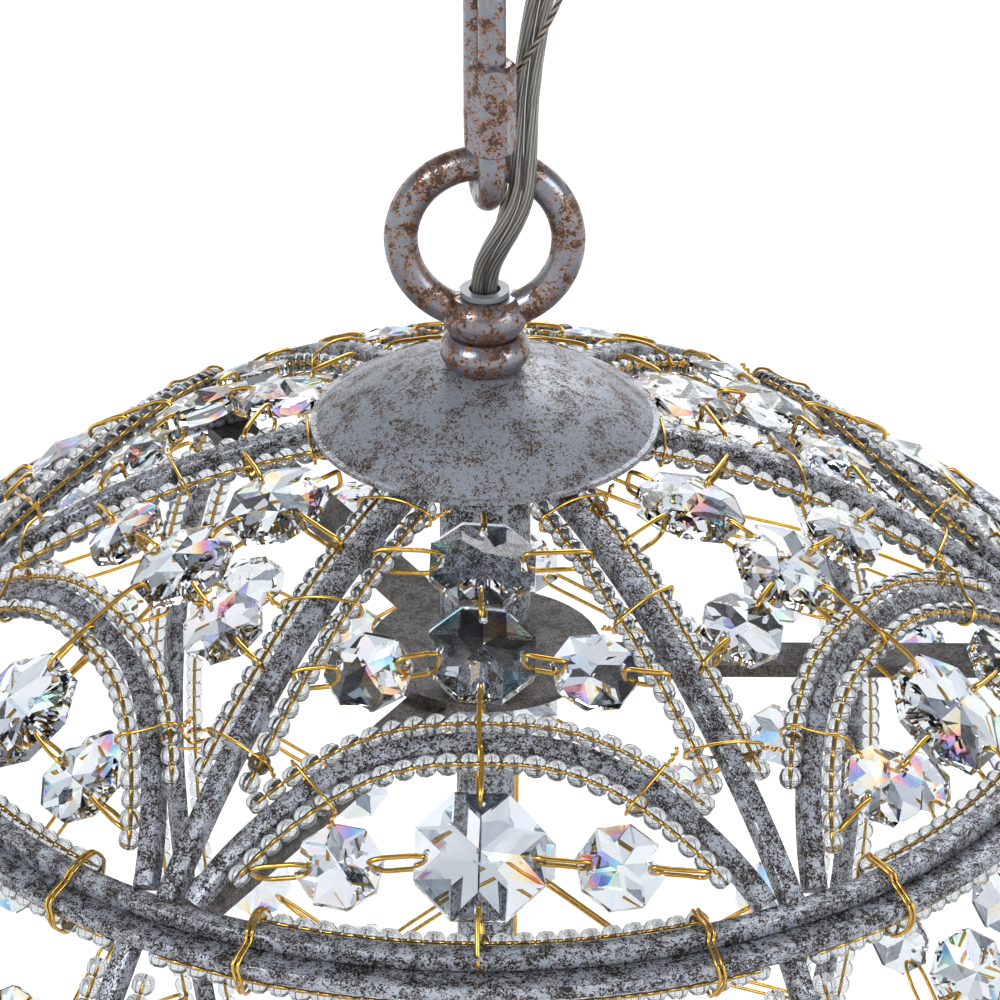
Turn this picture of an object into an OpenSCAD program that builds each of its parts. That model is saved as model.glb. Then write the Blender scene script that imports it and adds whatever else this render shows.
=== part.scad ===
// Small globe chandelier: a round dome frame of six bars and arches, nested on a globe basket,
// hung with octagons and bead strands, and held by an eye loop, a screw link and a ceiling canopy.
// Millimetres, +Z up. The origin is on the ceiling, at the centre of the canopy.
// Azimuth is counted from -Y towards +X, and a polar angle from the top of the globe.

/* [Suspension] */
// Height from the ceiling down to the rim of the cap
drop = 137; // [135:1:139]
// Radius of the ceiling canopy
canopy_r = 60; // [58:1:70]
// Depth of the canopy below the ceiling
canopy_h = 25; // [24:0.5:26]
// Distance between the two ceiling screws
screw_spacing = 70; // [60:1:80]
// Thickness of the screw link's rod
link_rod_d = 4.6; // [4.6:0.1:5]
// Half the distance between the screw link's legs
link_half_w = 9.75; // [9.5:0.05:10]
// Turn of the screw link about the upright axis
link_turn = 8; // [4:1:12]
// Length of the hexagonal sleeve nut
sleeve_len = 16; // [14:1:16]
// Width across the sleeve nut's flats
sleeve_af = 7; // [7:0.5:8]

/* [Loop and cap] */
// Radius of the eye loop's centre line
eye_r = 14.15; // [14:0.05:14.3]
// Thickness of the eye loop's rod
eye_d = 5.8; // [5.6:0.1:5.8]
// Outer radius of the cap
cap_r = 30; // [29:0.5:31]
// Height of the cap above its rim
cap_h = 11.5; // [11:0.1:11.5]

/* [Globe frame] */
// Outer radius of the globe
globe_r = 143.2; // [142:0.1:145]
// Width of every frame bar
bar_w = 3.4; // [3:0.1:3.6]
// Depth of every frame bar
bar_d = 3.6; // [3.2:0.1:3.8]
// Outer radius of the dome's ring
dome_ring_r = 104.6; // [104:0.1:105]
// Radius at which the arches reach their crown
arch_crown_r = 74.5; // [73:0.5:76]
// Outer radius of the basket's upper ring
basket_ring_r = 108.8; // [108:0.1:110]
// Turn of the basket against the dome
basket_turn = -2; // [-2:0.5:0]

/* [Strands and crystals] */
// Outside diameter of a bead strand
strand_d = 3.7; // [3:0.1:3.8]
// Width of the large octagons
octagon_large = 21; // [20:0.5:22]
// Width of the medium octagons
octagon_medium = 17.5; // [16:0.5:18]
// Width of the small octagons
octagon_small = 13.5; // [12:0.5:14]
// Thickness of the wire in the clips and ties
wire_d = 0.9; // [0.6:0.1:1]

/* [Stem and lamps] */
// Outer diameter of the stem above the spider
stem_d = 15.8; // [15:0.1:16]
// Outer diameter of the rod below the spider
rod_d = 10.3; // [10.3:0.1:11]
// Radius of the spider's disc
disc_r = 20.5; // [19:0.5:22]
// Radius of the circle of candles
candle_circle_r = 42; // [40:1:46]
// Number of candle lamps
candles = 3; // [2:1:4]

/* [Hidden] */

$fn = 48;
panels = 6;
sector = 360 / panels;
touch = 0.05;
over = 1;

// Heights of the main levels
rim_z = -drop;
globe_z = rim_z - 141;
dome_ring_top = rim_z - 40.2;
dome_ring_low = rim_z - 43;
basket_ring_top = rim_z - 43.4;
disc_top = rim_z - 44.4;
ring_low = rim_z - 45.9;
spoke_t = 2.5;

// Suspension levels and wall thicknesses
metal_t = 1.5;
canopy_bowl_r = 94.8;
bar_r = link_rod_d / 2;
loop_ring_r = 10;
loop_pin_z = rim_z + 85.5;
shank_r = 5;
fit = 0.05;
link_low_z = rim_z + 43.7;
link_top_z = loop_pin_z + 2 * bar_r + 0.2;
sleeve_z = rim_z + 55.5;
link_gap = [2, 8.5];
entry = [18, 0];
bush_hole_r = 4;
bush_bore_r = 2.7;

// Loop, cap and stem levels
eye_z = rim_z + 35;
boss_z = rim_z + 17.4;
boss_h = 7.2;
boss_r = 7.35;
collar_z = rim_z + cap_h + touch;
collar_h = boss_z - collar_z - touch;
collar_r = 7.75;
nipple_bore_r = 3.2;
wire_bore_r = 3;
crown_r = 14;

// Cord and earth wire: route points, chosen by hand
cord_size = [2.3, 1.3];
earth_size = [0.5, 0.5];
cord_lower_route = [
    [0, -0.7, -115], [0, -0.7, -110], [0.6, -1.8, -106], [2, -3.4, -102], [3.8, -4.6, -98],
    [5.4, -5.2, -94], [6.3, -5.3, -90], [6.5, -4.9, -86], [6.6, -4.4, -81], [6.8, -3.8, -75]
];
cord_upper_route = [
    [6.85, -3.8, -74.6], [7.4, -3.4, -69], [8.2, -3.2, -63], [9.2, -3.2, -57], [10.8, -3.6, -51],
    [13, -3.4, -45], [15.2, -2.4, -39], [17, -0.8, -33], [17.9, 0.4, -29], [18, 0.7, -25],
    [18, 0.7, -20]
];
earth_lower_route = [
    [0, 1.7, -115], [0, 1.8, -110], [0.8, 2.8, -106], [2, 3.8, -102], [3, 4.3, -98],
    [3.4, 4.3, -93], [3.4, 4.1, -88], [3, 3, -84], [2.8, 0.6, -80], [3, -2, -76]
];
earth_upper_route = [
    [3.08, -2.2, -75.64], [4, -4.6, -71.5], [6.2, -6.2, -67.5], [8.8, -6.6, -63], [11.4, -6.6, -58],
    [13.6, -6.6, -52], [15.6, -6.2, -45], [17.2, -5, -38], [18, -3, -32], [18, -1.8, -27],
    [18, -1.7, -20]
];

// Globe geometry
shell_r = globe_r - bar_d / 2;
strand_r = strand_d / 2;
strand_shell_r = globe_r - 2.5;
strand_side = bar_w / 2 + strand_r + 1;
arch_strand_shell_r = globe_r - bar_d / 2;
arch_strand_side = bar_w / 2 + strand_r + 0.2;
cross_in = 1.43;
cross_along = 0.8;
foot_half = 27.9;
arch_end = 13;
arch_steps = 22;
strand_steps = 18;
bar_from = asin((crown_r + 0.5) / globe_r);
bar_to = acos((dome_ring_low - globe_z) / globe_r);
basket_from = acos((ring_low - 0.3 - globe_z) / globe_r) - 3;
plate_r = 22;
basket_to = 180 - asin((plate_r - 0.5) / globe_r);
plate_t = 3;
low_ring_r = 98.9;

// Octagons of one dome panel: distance from the axis and azimuth off the panel's middle
octagon_thick = 0.3;
medium_places = [[40.4, 0], [58.4, 0]];
small_places = [[62.9, -17], [62.9, 17], [91.8, -14.1], [91.8, 14.1]];
large_places = [[89.3, 0]];
// Octagons of one basket panel: polar angle and azimuth off the panel's middle
basket_medium = [[60, 0], [75, 0], [90, 0], [105, 0], [120, 0]];
basket_small = concat(
    [for (side = [-1, 1], polar = [54, 67, 82.5, 97.5, 113, 126]) [polar, side * 14]],
    [for (side = [-1, 1], polar = [57, 123]) [polar, side * 22]],
    [for (side = [-1, 1], polar = [75, 90, 105]) [polar, side * 23.3]]
);

// Lamp levels
cup_z = rim_z - 240;
hub_h = 12;
hub_r = 12;
arm_r = 3.6;
arm_bend = candle_circle_r - hub_r - touch;
hub_z = cup_z - arm_bend - hub_h / 2;
cup_h = 4;
cup_r = 15;
sleeve_r = 12;
sleeve_h = 36;
holder_h = 32;
lamp_base_r = 6;
lamp_base_h = 17;
lamp_r = 14;
finial_h = 16;
finial_r = 8;

// Colours
silver = [0.62, 0.63, 0.65];
dark_silver = [0.33, 0.32, 0.31];
bright = [0.75, 0.75, 0.76];
gold = [0.83, 0.66, 0.3];
crystal = [0.9, 0.93, 0.97];
clear_plastic = [0.85, 0.86, 0.86];
ivory = [0.93, 0.91, 0.85];

function unit(v) = v / norm(v);
function shell_height(r, rho) = sqrt(rho * rho - r * r);
function polar_of(r) = asin(r / shell_r);

// Point on the globe at a polar angle and an azimuth
function on_globe(rho, polar, az) =
    [rho * sin(polar) * sin(az), -rho * sin(polar) * cos(az), globe_z + rho * cos(polar)];

// Point of an arch at station t, from 0 at one foot to 180 at the other, on a sphere of radius rho
function arch_radius(t) =
    dome_ring_r - (dome_ring_r - arch_crown_r) * pow(sin(t), cross_in);
function arch_azimuth(t) = foot_half * sign(cos(t)) * pow(abs(cos(t)), cross_along);
function arch_point(t, rho) =
    let (r = arch_radius(t), az = arch_azimuth(t), k = rho / globe_r)
    [k * r * sin(az), -k * r * cos(az), globe_z + k * shell_height(r, globe_r)];

function tangent(path, i) =
    unit(path[min(i + 1, len(path) - 1)] - path[max(i - 1, 0)]);

// Round section with the given half sizes and number of sides
function round_section(size, sides) =
    [for (k = [0:sides - 1]) [size[0] * cos(360 * k / sides), size[1] * sin(360 * k / sides)]];

// Solid swept along a path: a section point's x runs across, its y runs along the normal
module sweep(path, normals, section) {
    count = len(path);
    sides = len(section);
    points = [
        for (i = [0:count - 1])
            let (t = tangent(path, i), b = unit(cross(t, normals[i])), n = cross(b, t))
            for (s = section) path[i] + b * s[0] + n * s[1]
    ];
    walls = [
        for (i = [0:count - 2], k = [0:sides - 1])
            let (a = i * sides, next = (k + 1) % sides)
            [a + k, a + next, a + sides + next, a + sides + k]
    ];
    ends = [[for (k = [sides - 1:-1:0]) k],
            [for (k = [0:sides - 1]) (count - 1) * sides + k]];
    polyhedron(points, concat(walls, ends), convexity = 6);
}

// Straight round wire between two points
module wire(a, b, d) {
    v = b - a;
    translate(a) rotate([0, acos(v[2] / norm(v)), atan2(v[1], v[0])])
        cylinder(h = norm(v), d = d, $fn = 16);
}

module tube(r_out, r_in, h) {
    difference() {
        cylinder(r = r_out, h = h);
        translate([0, 0, -over]) cylinder(r = r_in, h = h + 2 * over);
    }
}

module flat_ring(r_out, width, z_low, z_high) {
    translate([0, 0, z_low]) rotate_extrude($fn = 96)
        translate([r_out - width, 0]) square([width, z_high - z_low]);
}

// Turned body with a bulged side
module bulged(r, h, bore) {
    rotate_extrude() intersection() {
        translate([bore, 0]) square([r, h]);
        translate([r - 0.6 * h, h / 2]) circle(r = 0.6 * h);
    }
}

// Children in the upright plane at an azimuth, with x as the distance from the globe's centre
// and the turn from x to y as the polar angle
module meridian_plane(az) {
    translate([0, 0, globe_z]) rotate([0, 0, az]) rotate([0, -90, 180]) children();
}

// Arc of bar from one polar angle to another
module meridian_bar(az, from, to) {
    meridian_plane(az) rotate([0, 0, from]) rotate_extrude(angle = to - from, $fn = 96)
        translate([globe_r - bar_d, -bar_w / 2]) square([bar_d, bar_w]);
}

// Arc of bead strand beside a bar
module meridian_strand(az, side, from, to) {
    flat_r = sqrt(strand_shell_r * strand_shell_r - strand_side * strand_side);
    meridian_plane(az) rotate([0, 0, from]) translate([0, 0, side * strand_side])
        rotate_extrude(angle = to - from, $fn = 96) translate([flat_r, 0]) circle(r = strand_r, $fn = 16);
}

// Arc of bead strand at one polar angle
module level_strand(az, polar, half) {
    translate([0, 0, globe_z + strand_shell_r * cos(polar)]) rotate([0, 0, az - 90 - half])
        rotate_extrude(angle = 2 * half, $fn = 96)
            translate([strand_shell_r * sin(polar), 0]) circle(r = strand_r, $fn = 16);
}

module arch_bar() {
    stations = [for (i = [0:arch_steps]) arch_end + (180 - 2 * arch_end) * i / arch_steps];
    path = [for (t = stations) arch_point(t, globe_r)];
    normals = [for (p = path) unit(p - [0, 0, globe_z])];
    sweep(path, normals, [[-bar_w / 2, -bar_d], [bar_w / 2, -bar_d], [bar_w / 2, 0], [-bar_w / 2, 0]]);
}

// Bead strand along an arch, on its crown side (1) or its ring side (-1), from station end on
module arch_strand(side, end) {
    stations = [for (i = [0:strand_steps]) end + (180 - 2 * end) * i / strand_steps];
    middle = [for (t = stations) arch_point(t, arch_strand_shell_r)];
    path = [
        for (i = [0:strand_steps])
            let (n = unit(middle[i] - [0, 0, globe_z]), t = tangent(middle, i))
            middle[i] + side * arch_strand_side * unit(cross(t, n))
    ];
    normals = [for (p = path) unit(p - [0, 0, globe_z])];
    sweep(path, normals, round_section([strand_r, strand_r], 6));
}

module each_panel() {
    for (i = [0:panels - 1]) rotate([0, 0, i * sector]) children();
}

module upside_down() {
    translate([0, 0, 2 * globe_z]) mirror([0, 0, 1]) children();
}

// Octagon facing outwards on the globe
module octagon(size, polar, az) {
    thick = octagon_thick * size;
    rotate([0, 0, az]) translate([0, 0, globe_z]) rotate([polar, 0, 0])
        translate([0, 0, shell_r - thick / 2]) rotate([0, 0, 22.5])
            cylinder(d = size / cos(22.5), h = thick, $fn = 8);
}

module panel_octagons(size, places) {
    each_panel() for (p = places) octagon(size, polar_of(p[0]), p[1]);
}

module basket_octagons(size, places) {
    rotate([0, 0, basket_turn]) each_panel() for (p = places) octagon(size, p[0], p[1]);
}

// Flat steel bar across the ceiling box, tapped in the middle for the loop's shank
module crossbar() {
    bar = [100, 20, 2];
    slot_r = 2.5;
    slot_run = 7;
    color(dark_silver) difference() {
        translate([-bar[0] / 2, -bar[1] / 2, -bar[2]]) cube(bar);
        translate([0, 0, -bar[2] - over]) cylinder(r = shank_r + fit, h = bar[2] + 2 * over);
        for (side = [-1, 1]) translate([side * screw_spacing / 2, 0, -bar[2] - over]) {
            for (end = [-1, 1]) translate([end * slot_run / 2, 0, 0])
                cylinder(r = slot_r, h = bar[2] + 2 * over);
            translate([-slot_run / 2, -slot_r, 0]) cube([slot_run, 2 * slot_r, bar[2] + 2 * over]);
        }
    }
}

// Spun canopy with a rolled edge against the ceiling
module canopy() {
    edge_h = 4;
    bowl_z = canopy_bowl_r - canopy_h;
    color(silver) difference() {
        rotate_extrude($fn = 96) {
            difference() {
                intersection() {
                    translate([0, bowl_z]) circle(r = canopy_bowl_r, $fn = 96);
                    translate([0, -canopy_h]) square([canopy_r, canopy_h - edge_h + touch]);
                }
                translate([0, bowl_z]) circle(r = canopy_bowl_r - metal_t, $fn = 96);
            }
            translate([canopy_r - metal_t - 1, -edge_h]) square([metal_t + 1, edge_h]);
        }
        translate([0, 0, -canopy_h - over]) cylinder(r = shank_r + fit, h = 4 * over);
        translate([entry[0], entry[1], -canopy_h - over]) cylinder(r = bush_hole_r, h = 6 * over);
    }
}

// Hexagon nut that locks the loop's shank under the crossbar
module canopy_locknut() {
    nut_af = 16;
    nut_h = 5;
    color(bright) translate([0, 0, -nut_h - 2 - touch]) difference() {
        cylinder(d = nut_af / cos(30), h = nut_h, $fn = 6);
        translate([0, 0, -over]) cylinder(r = shank_r + fit, h = nut_h + 2 * over);
    }
}

// Ring that the screw link hangs on, with its collar and threaded shank
module canopy_loop() {
    ring_z = loop_pin_z + loop_ring_r;
    collar_low = ring_z + loop_ring_r;
    color(bright) union() {
        translate([0, 0, ring_z]) rotate([90, 0, 0]) rotate_extrude()
            translate([loop_ring_r, 0]) circle(r = bar_r);
        translate([0, 0, collar_low]) cylinder(r = 8, h = -canopy_h - collar_low);
        translate([0, 0, -canopy_h - over]) cylinder(r = shank_r, h = canopy_h + over);
    }
}

module flanged_bush(hole_r, bore_r, body_h) {
    flange_h = 1.4;
    difference() {
        union() {
            cylinder(r = hole_r - touch, h = body_h);
            translate([0, 0, -flange_h]) cylinder(r = hole_r + 1, h = flange_h);
        }
        translate([0, 0, -flange_h - over]) cylinder(r = bore_r, h = body_h + flange_h + 2 * over);
    }
}

module canopy_bush() {
    flange_rise = 0.8;
    color(clear_plastic) translate([entry[0], entry[1], -canopy_h + flange_rise])
        flanged_bush(bush_hole_r, bush_bore_r, 4);
}

// Bent rod of the screw link, open where the sleeve nut bridges its two ends
module quick_link() {
    bend_low = link_low_z + link_half_w;
    bend_top = link_top_z - link_half_w;
    module leg(side, from, to) {
        translate([0, side * link_half_w, from]) cylinder(r = bar_r, h = to - from);
    }
    module bend(z, start) {
        translate([0, 0, z]) rotate([0, 90, 0]) rotate([0, 0, start]) rotate_extrude(angle = 180)
            translate([link_half_w, 0]) circle(r = bar_r);
    }
    color(bright) rotate([0, 0, link_turn]) union() {
        bend(bend_low, -90);
        bend(bend_top, 90);
        leg(1, bend_low, bend_top);
        leg(-1, bend_low, sleeve_z + link_gap[0]);
        leg(-1, sleeve_z + link_gap[1], bend_top);
    }
}

module link_sleeve() {
    chamfer = 0.8;
    corner_r = sleeve_af / 2 / cos(30);
    color(bright) rotate([0, 0, link_turn]) translate([0, -link_half_w, sleeve_z]) difference() {
        intersection() {
            cylinder(r = corner_r, h = sleeve_len, $fn = 6);
            union() {
                cylinder(r1 = corner_r - chamfer, r2 = corner_r, h = chamfer);
                translate([0, 0, chamfer]) cylinder(r = corner_r, h = sleeve_len - 2 * chamfer);
                translate([0, 0, sleeve_len - chamfer])
                    cylinder(r1 = corner_r, r2 = corner_r - chamfer, h = chamfer);
            }
        }
        translate([0, 0, -over]) cylinder(r = bar_r + fit, h = sleeve_len + 2 * over);
    }
}

module cord(route, size) {
    normals = [for (p = route) [0, -1, 0]];
    color(clear_plastic) sweep(route, normals, round_section(size, 8));
}

module cord_upper() { cord(cord_upper_route, cord_size); }
module cord_lower() { cord(cord_lower_route, cord_size); }
module earth_wire_upper() { cord(earth_upper_route, earth_size); }
module earth_wire_lower() { cord(earth_lower_route, earth_size); }

module eye_loop() {
    thread_h = 3;
    color(bright) difference() {
        union() {
            translate([0, 0, eye_z]) rotate([90, 0, 0]) rotate_extrude()
                translate([eye_r, 0]) circle(r = eye_d / 2);
            translate([0, 0, boss_z]) bulged(boss_r, boss_h, 0);
        }
        translate([0, 0, boss_z - over]) cylinder(r = 3.4, h = boss_h + 2 * over);
        translate([0, 0, boss_z - over]) cylinder(r = shank_r + fit, h = thread_h + over);
    }
}

// Grey bush that the cord leaves the boss through
module loop_bush() {
    color(clear_plastic) translate([0, 0, boss_z + boss_h + 0.1]) union() {
        tube(4.2, bush_bore_r, 1);
        translate([0, 0, -3.6]) tube(3.35, bush_bore_r, 3.6);
    }
}

module loop_collar() {
    color(silver) translate([0, 0, collar_z]) bulged(collar_r, collar_h, shank_r + fit);
}

// Threaded tube that ties the stem, the cap, the collar and the eye loop together
module hub_nipple() {
    top_z = boss_z + 2.9;
    low_z = rim_z - 12;
    color(bright) translate([0, 0, low_z]) tube(shank_r, nipple_bore_r, top_z - low_z);
}

// Spun cap over the crown of the dome, with a small straight lip
module cap() {
    lip_h = 0.8;
    dome_rim = cap_r - 0.1;
    ball_r = (dome_rim * dome_rim + cap_h * cap_h) / (2 * cap_h);
    color(silver) difference() {
        translate([0, 0, rim_z]) rotate_extrude($fn = 96) {
            difference() {
                intersection() {
                    translate([0, cap_h - ball_r]) circle(r = ball_r, $fn = 96);
                    square([dome_rim, cap_h]);
                }
                translate([0, cap_h - ball_r]) circle(r = ball_r - 1.2, $fn = 96);
            }
            translate([cap_r - 1.4, 0]) square([1.4, lip_h]);
        }
        translate([0, 0, rim_z]) cylinder(r = shank_r + fit, h = cap_h + over);
    }
}

module stem_tube() {
    low_z = disc_top;
    top_z = rim_z + cap_h - 2.6;
    color(dark_silver) translate([0, 0, low_z]) tube(stem_d / 2, shank_r + fit, top_z - low_z);
}

// Collar ring that the six dome bars are welded to, under the cap
module dome_crown() {
    color(silver) translate([0, 0, rim_z - 2.4]) tube(crown_r, stem_d / 2 + 0.2, 4);
}

module dome_bars() {
    color(silver) difference() {
        each_panel() meridian_bar(sector / 2, bar_from, bar_to);
        translate([0, 0, dome_ring_low - 10]) tube(
            dome_ring_r + 2 * over, dome_ring_r - bar_d - touch, dome_ring_top - dome_ring_low + 10 + touch);
        translate([0, 0, dome_ring_low - 10]) cylinder(r = dome_ring_r + over, h = 10);
    }
}

module dome_ring() {
    color(silver) flat_ring(dome_ring_r, bar_d, dome_ring_low, dome_ring_top);
}

module dome_arch(i) {
    color(silver) rotate([0, 0, (i - 1) * sector]) arch_bar();
}
module dome_arch_1() { dome_arch(1); }
module dome_arch_2() { dome_arch(2); }
module dome_arch_3() { dome_arch(3); }
module dome_arch_4() { dome_arch(4); }
module dome_arch_5() { dome_arch(5); }
module dome_arch_6() { dome_arch(6); }

// Disc on top of the three spokes that carry the basket on the stem
module spider_disc() {
    color(dark_silver) translate([0, 0, ring_low]) tube(disc_r, rod_d / 2 + 0.1, disc_top - ring_low);
}

module spider_spokes() {
    spoke_w = 8;
    spoke_end = 101.5;
    color(dark_silver) difference() {
        union() {
            translate([0, 0, ring_low - spoke_t]) cylinder(r = 14, h = spoke_t - touch);
            for (az = [90, 210, 330]) rotate([0, 0, az])
                translate([-spoke_w / 2, -spoke_end, ring_low - spoke_t])
                    cube([spoke_w, spoke_end, spoke_t - touch]);
        }
        translate([0, 0, ring_low - spoke_t - over]) cylinder(r = rod_d / 2 + 0.1, h = spoke_t + 2 * over);
    }
}

module basket_top_ring() {
    color(silver) flat_ring(basket_ring_r, basket_ring_r - 99.5, ring_low, basket_ring_top);
}

// One upright bar of the basket, from under its upper ring to the bottom plate
module basket_bar(i) {
    ring_cut = ring_low - touch;
    color(silver) difference() {
        meridian_bar((i - 0.5) * sector + basket_turn, basket_from, basket_to);
        translate([0, 0, ring_cut]) cylinder(r = globe_r, h = 20);
        translate([0, 0, globe_z - globe_r - over]) cylinder(r = plate_r + touch, h = 20);
    }
}
module basket_bar_1() { basket_bar(1); }
module basket_bar_2() { basket_bar(2); }
module basket_bar_3() { basket_bar(3); }
module basket_bar_4() { basket_bar(4); }
module basket_bar_5() { basket_bar(5); }
module basket_bar_6() { basket_bar(6); }

// Lower ring, welded to the inside of the upright bars
module basket_low_ring() {
    low_z = 2 * globe_z - dome_ring_low;
    color(silver) flat_ring(low_ring_r, bar_d, low_z, low_z + 2.4);
}

module basket_arches() {
    color(silver) rotate([0, 0, basket_turn]) upside_down() each_panel() arch_bar();
}

module basket_plate() {
    plate_top = globe_z - shell_height(plate_r, globe_r) + plate_t;
    color(silver) translate([0, 0, plate_top - plate_t]) tube(plate_r, rod_d / 2 + 0.1, plate_t);
}

// Tube that carries the lamp cluster and the bottom of the basket
module lower_rod() {
    top_z = rim_z - 25;
    plate_low = globe_z - shell_height(plate_r, globe_r);
    thread_low = plate_low - 8;
    color(dark_silver) difference() {
        union() {
            translate([0, 0, thread_low]) cylinder(d = rod_d, h = disc_top - touch - thread_low);
            translate([0, 0, disc_top - over]) cylinder(r = shank_r, h = top_z - disc_top + over);
        }
        translate([0, 0, thread_low - over]) cylinder(r = wire_bore_r, h = top_z - thread_low + 2 * over);
    }
}

// Turned nut that closes the bottom of the globe
module finial() {
    top_z = globe_z - shell_height(plate_r, globe_r) - touch;
    color(silver) translate([0, 0, top_z - finial_h]) difference() {
        rotate_extrude() union() {
            translate([0, finial_r]) intersection() {
                circle(r = finial_r);
                translate([0, -finial_r]) square([finial_r, 2 * finial_r]);
            }
            translate([0, finial_h - 3]) square([finial_r + 2, 3]);
        }
        translate([0, 0, finial_h - 9]) cylinder(d = rod_d + 0.2, h = 9 + over);
    }
}

module lamp_hub() {
    color(silver) translate([0, 0, hub_z]) tube(hub_r, rod_d / 2 + 0.1, hub_h);
}

module each_candle() {
    for (i = [0:candles - 1]) rotate([0, 0, 30 + i * 360 / candles]) children();
}

// Tube that leaves the hub level and curves up to carry a candle
module lamp_arms() {
    color(silver) each_candle() translate([0, -hub_r - touch, cup_z - touch]) rotate([0, 90, 0])
        rotate_extrude(angle = -90) translate([arm_bend, 0]) circle(r = arm_r);
}

module candle_cups() {
    color(silver) each_candle() translate([0, -candle_circle_r, cup_z]) difference() {
        cylinder(r1 = cup_r - 1.5, r2 = cup_r, h = cup_h);
        translate([0, 0, 1.5]) cylinder(r = sleeve_r + 0.3, h = cup_h);
        translate([0, 0, -over]) cylinder(r = wire_bore_r, h = cup_h);
    }
}

// Lamp holder inside each candle sleeve
module lamp_holders() {
    color(ivory) each_candle() translate([0, -candle_circle_r, cup_z + 1.5 + touch]) difference() {
        cylinder(r = sleeve_r - 1.6, h = holder_h);
        translate([0, 0, holder_h - lamp_base_h - over]) cylinder(r = lamp_base_r + fit, h = lamp_base_h + 2 * over);
    }
}

module candle_sleeves() {
    color(ivory) each_candle() translate([0, -candle_circle_r, cup_z + 1.5 + touch])
        tube(sleeve_r, sleeve_r - 1.5, sleeve_h);
}

// Candle lamp: a threaded base and a pointed glass
module lamps() {
    base_z = cup_z + 1.5 + holder_h - lamp_base_h;
    widest = lamp_base_h + 20;
    tip_arc_r = 58.6;
    tip_h = 37.5;
    neck_arc_r = 29;
    color(crystal) each_candle() translate([0, -candle_circle_r, base_z]) rotate_extrude() union() {
        square([lamp_base_r, lamp_base_h + over]);
        intersection() {
            translate([lamp_r - neck_arc_r, widest]) circle(r = neck_arc_r, $fn = 96);
            translate([0, lamp_base_h]) square([lamp_r, widest - lamp_base_h]);
        }
        intersection() {
            translate([lamp_r - tip_arc_r, widest]) circle(r = tip_arc_r, $fn = 96);
            translate([0, widest]) square([lamp_r, tip_h]);
        }
    }
}

// Bead strands of the dome: a triangle above each arch and a bow below it
module panel_strands() {
    bow_polar = asin((dome_ring_r - bar_d - strand_r - touch) / strand_shell_r);
    for (side = [-1, 1])
        meridian_strand(side * sector / 2, -side, polar_of(27.5), polar_of(83));
    arch_strand(1, 40);
    arch_strand(-1, 26);
    level_strand(0, bow_polar, 20.5);
}

module dome_strands() {
    color(crystal) each_panel() panel_strands();
}

module basket_strands() {
    top_polar = acos((ring_low - strand_r - 0.6 - globe_z) / strand_shell_r);
    color(crystal) rotate([0, 0, basket_turn]) each_panel() {
        for (side = [-1, 1])
            meridian_strand(side * sector / 2, -side, top_polar + 2, 178 - top_polar);
        level_strand(0, top_polar, 27);
        level_strand(0, 180 - top_polar, 27);
    }
}

module bottom_strands() {
    color(crystal) rotate([0, 0, basket_turn]) upside_down() each_panel() panel_strands();
}

module dome_octagons_large() {
    color(crystal) panel_octagons(octagon_large, large_places);
}
module dome_octagons_medium() {
    color(crystal) panel_octagons(octagon_medium, medium_places);
}
module dome_octagons_small() {
    color(crystal) panel_octagons(octagon_small, small_places);
}
module basket_octagons_medium() {
    color(crystal) basket_octagons(octagon_medium, basket_medium);
}
module basket_octagons_small() {
    color(crystal) basket_octagons(octagon_small, basket_small);
}
module bottom_octagons() {
    color(crystal) rotate([0, 0, basket_turn]) upside_down() {
        panel_octagons(octagon_large, large_places);
        panel_octagons(octagon_medium, medium_places);
        panel_octagons(octagon_small, small_places);
    }
}

// Wire clips across the gaps beside the octagons of one panel
module panel_clips() {
    mid_r = shell_r;
    module across(r, from, to) {
        for (side = [-1, 1])
            wire(on_globe(mid_r, polar_of(r), side * from), on_globe(mid_r, polar_of(r), side * to), wire_d);
    }
    across(90.5, 7, 9.5);
    across(60.5, 8.9, 10.4);
    across(92.2, 19, 20.2);
    wire(on_globe(mid_r, polar_of(67.2), 0), on_globe(mid_r, polar_of(68.5), 0), wire_d);
}

module crystal_clips() {
    color(gold) {
        each_panel() panel_clips();
        rotate([0, 0, basket_turn]) upside_down() each_panel() panel_clips();
    }
}

// Wire ties over the outer face of the bars and arches
module frame_ties() {
    lift = globe_r + wire_d / 2 + 0.2;
    half_run = 5.5;
    module tie(polar, az, turn) {
        rotate([0, 0, az]) translate([0, 0, globe_z]) rotate([polar, 0, 0]) translate([0, 0, lift])
            rotate([0, 0, turn]) translate([-half_run, 0, 0]) rotate([0, 90, 0])
                cylinder(d = wire_d, h = 2 * half_run, $fn = 16);
    }
    module panel_ties() {
        for (r = [49, 84]) tie(polar_of(r), sector / 2, 12);
        tie(polar_of(arch_crown_r), 0, 90);
        for (side = [-1, 1]) tie(polar_of(82), side * 17.5, 90 + side * 30);
    }
    color(gold) {
        each_panel() panel_ties();
        rotate([0, 0, basket_turn]) {
            upside_down() each_panel() panel_ties();
            each_panel() for (polar = [66, 90, 114]) tie(polar, sector / 2, 10);
        }
    }
}

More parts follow.
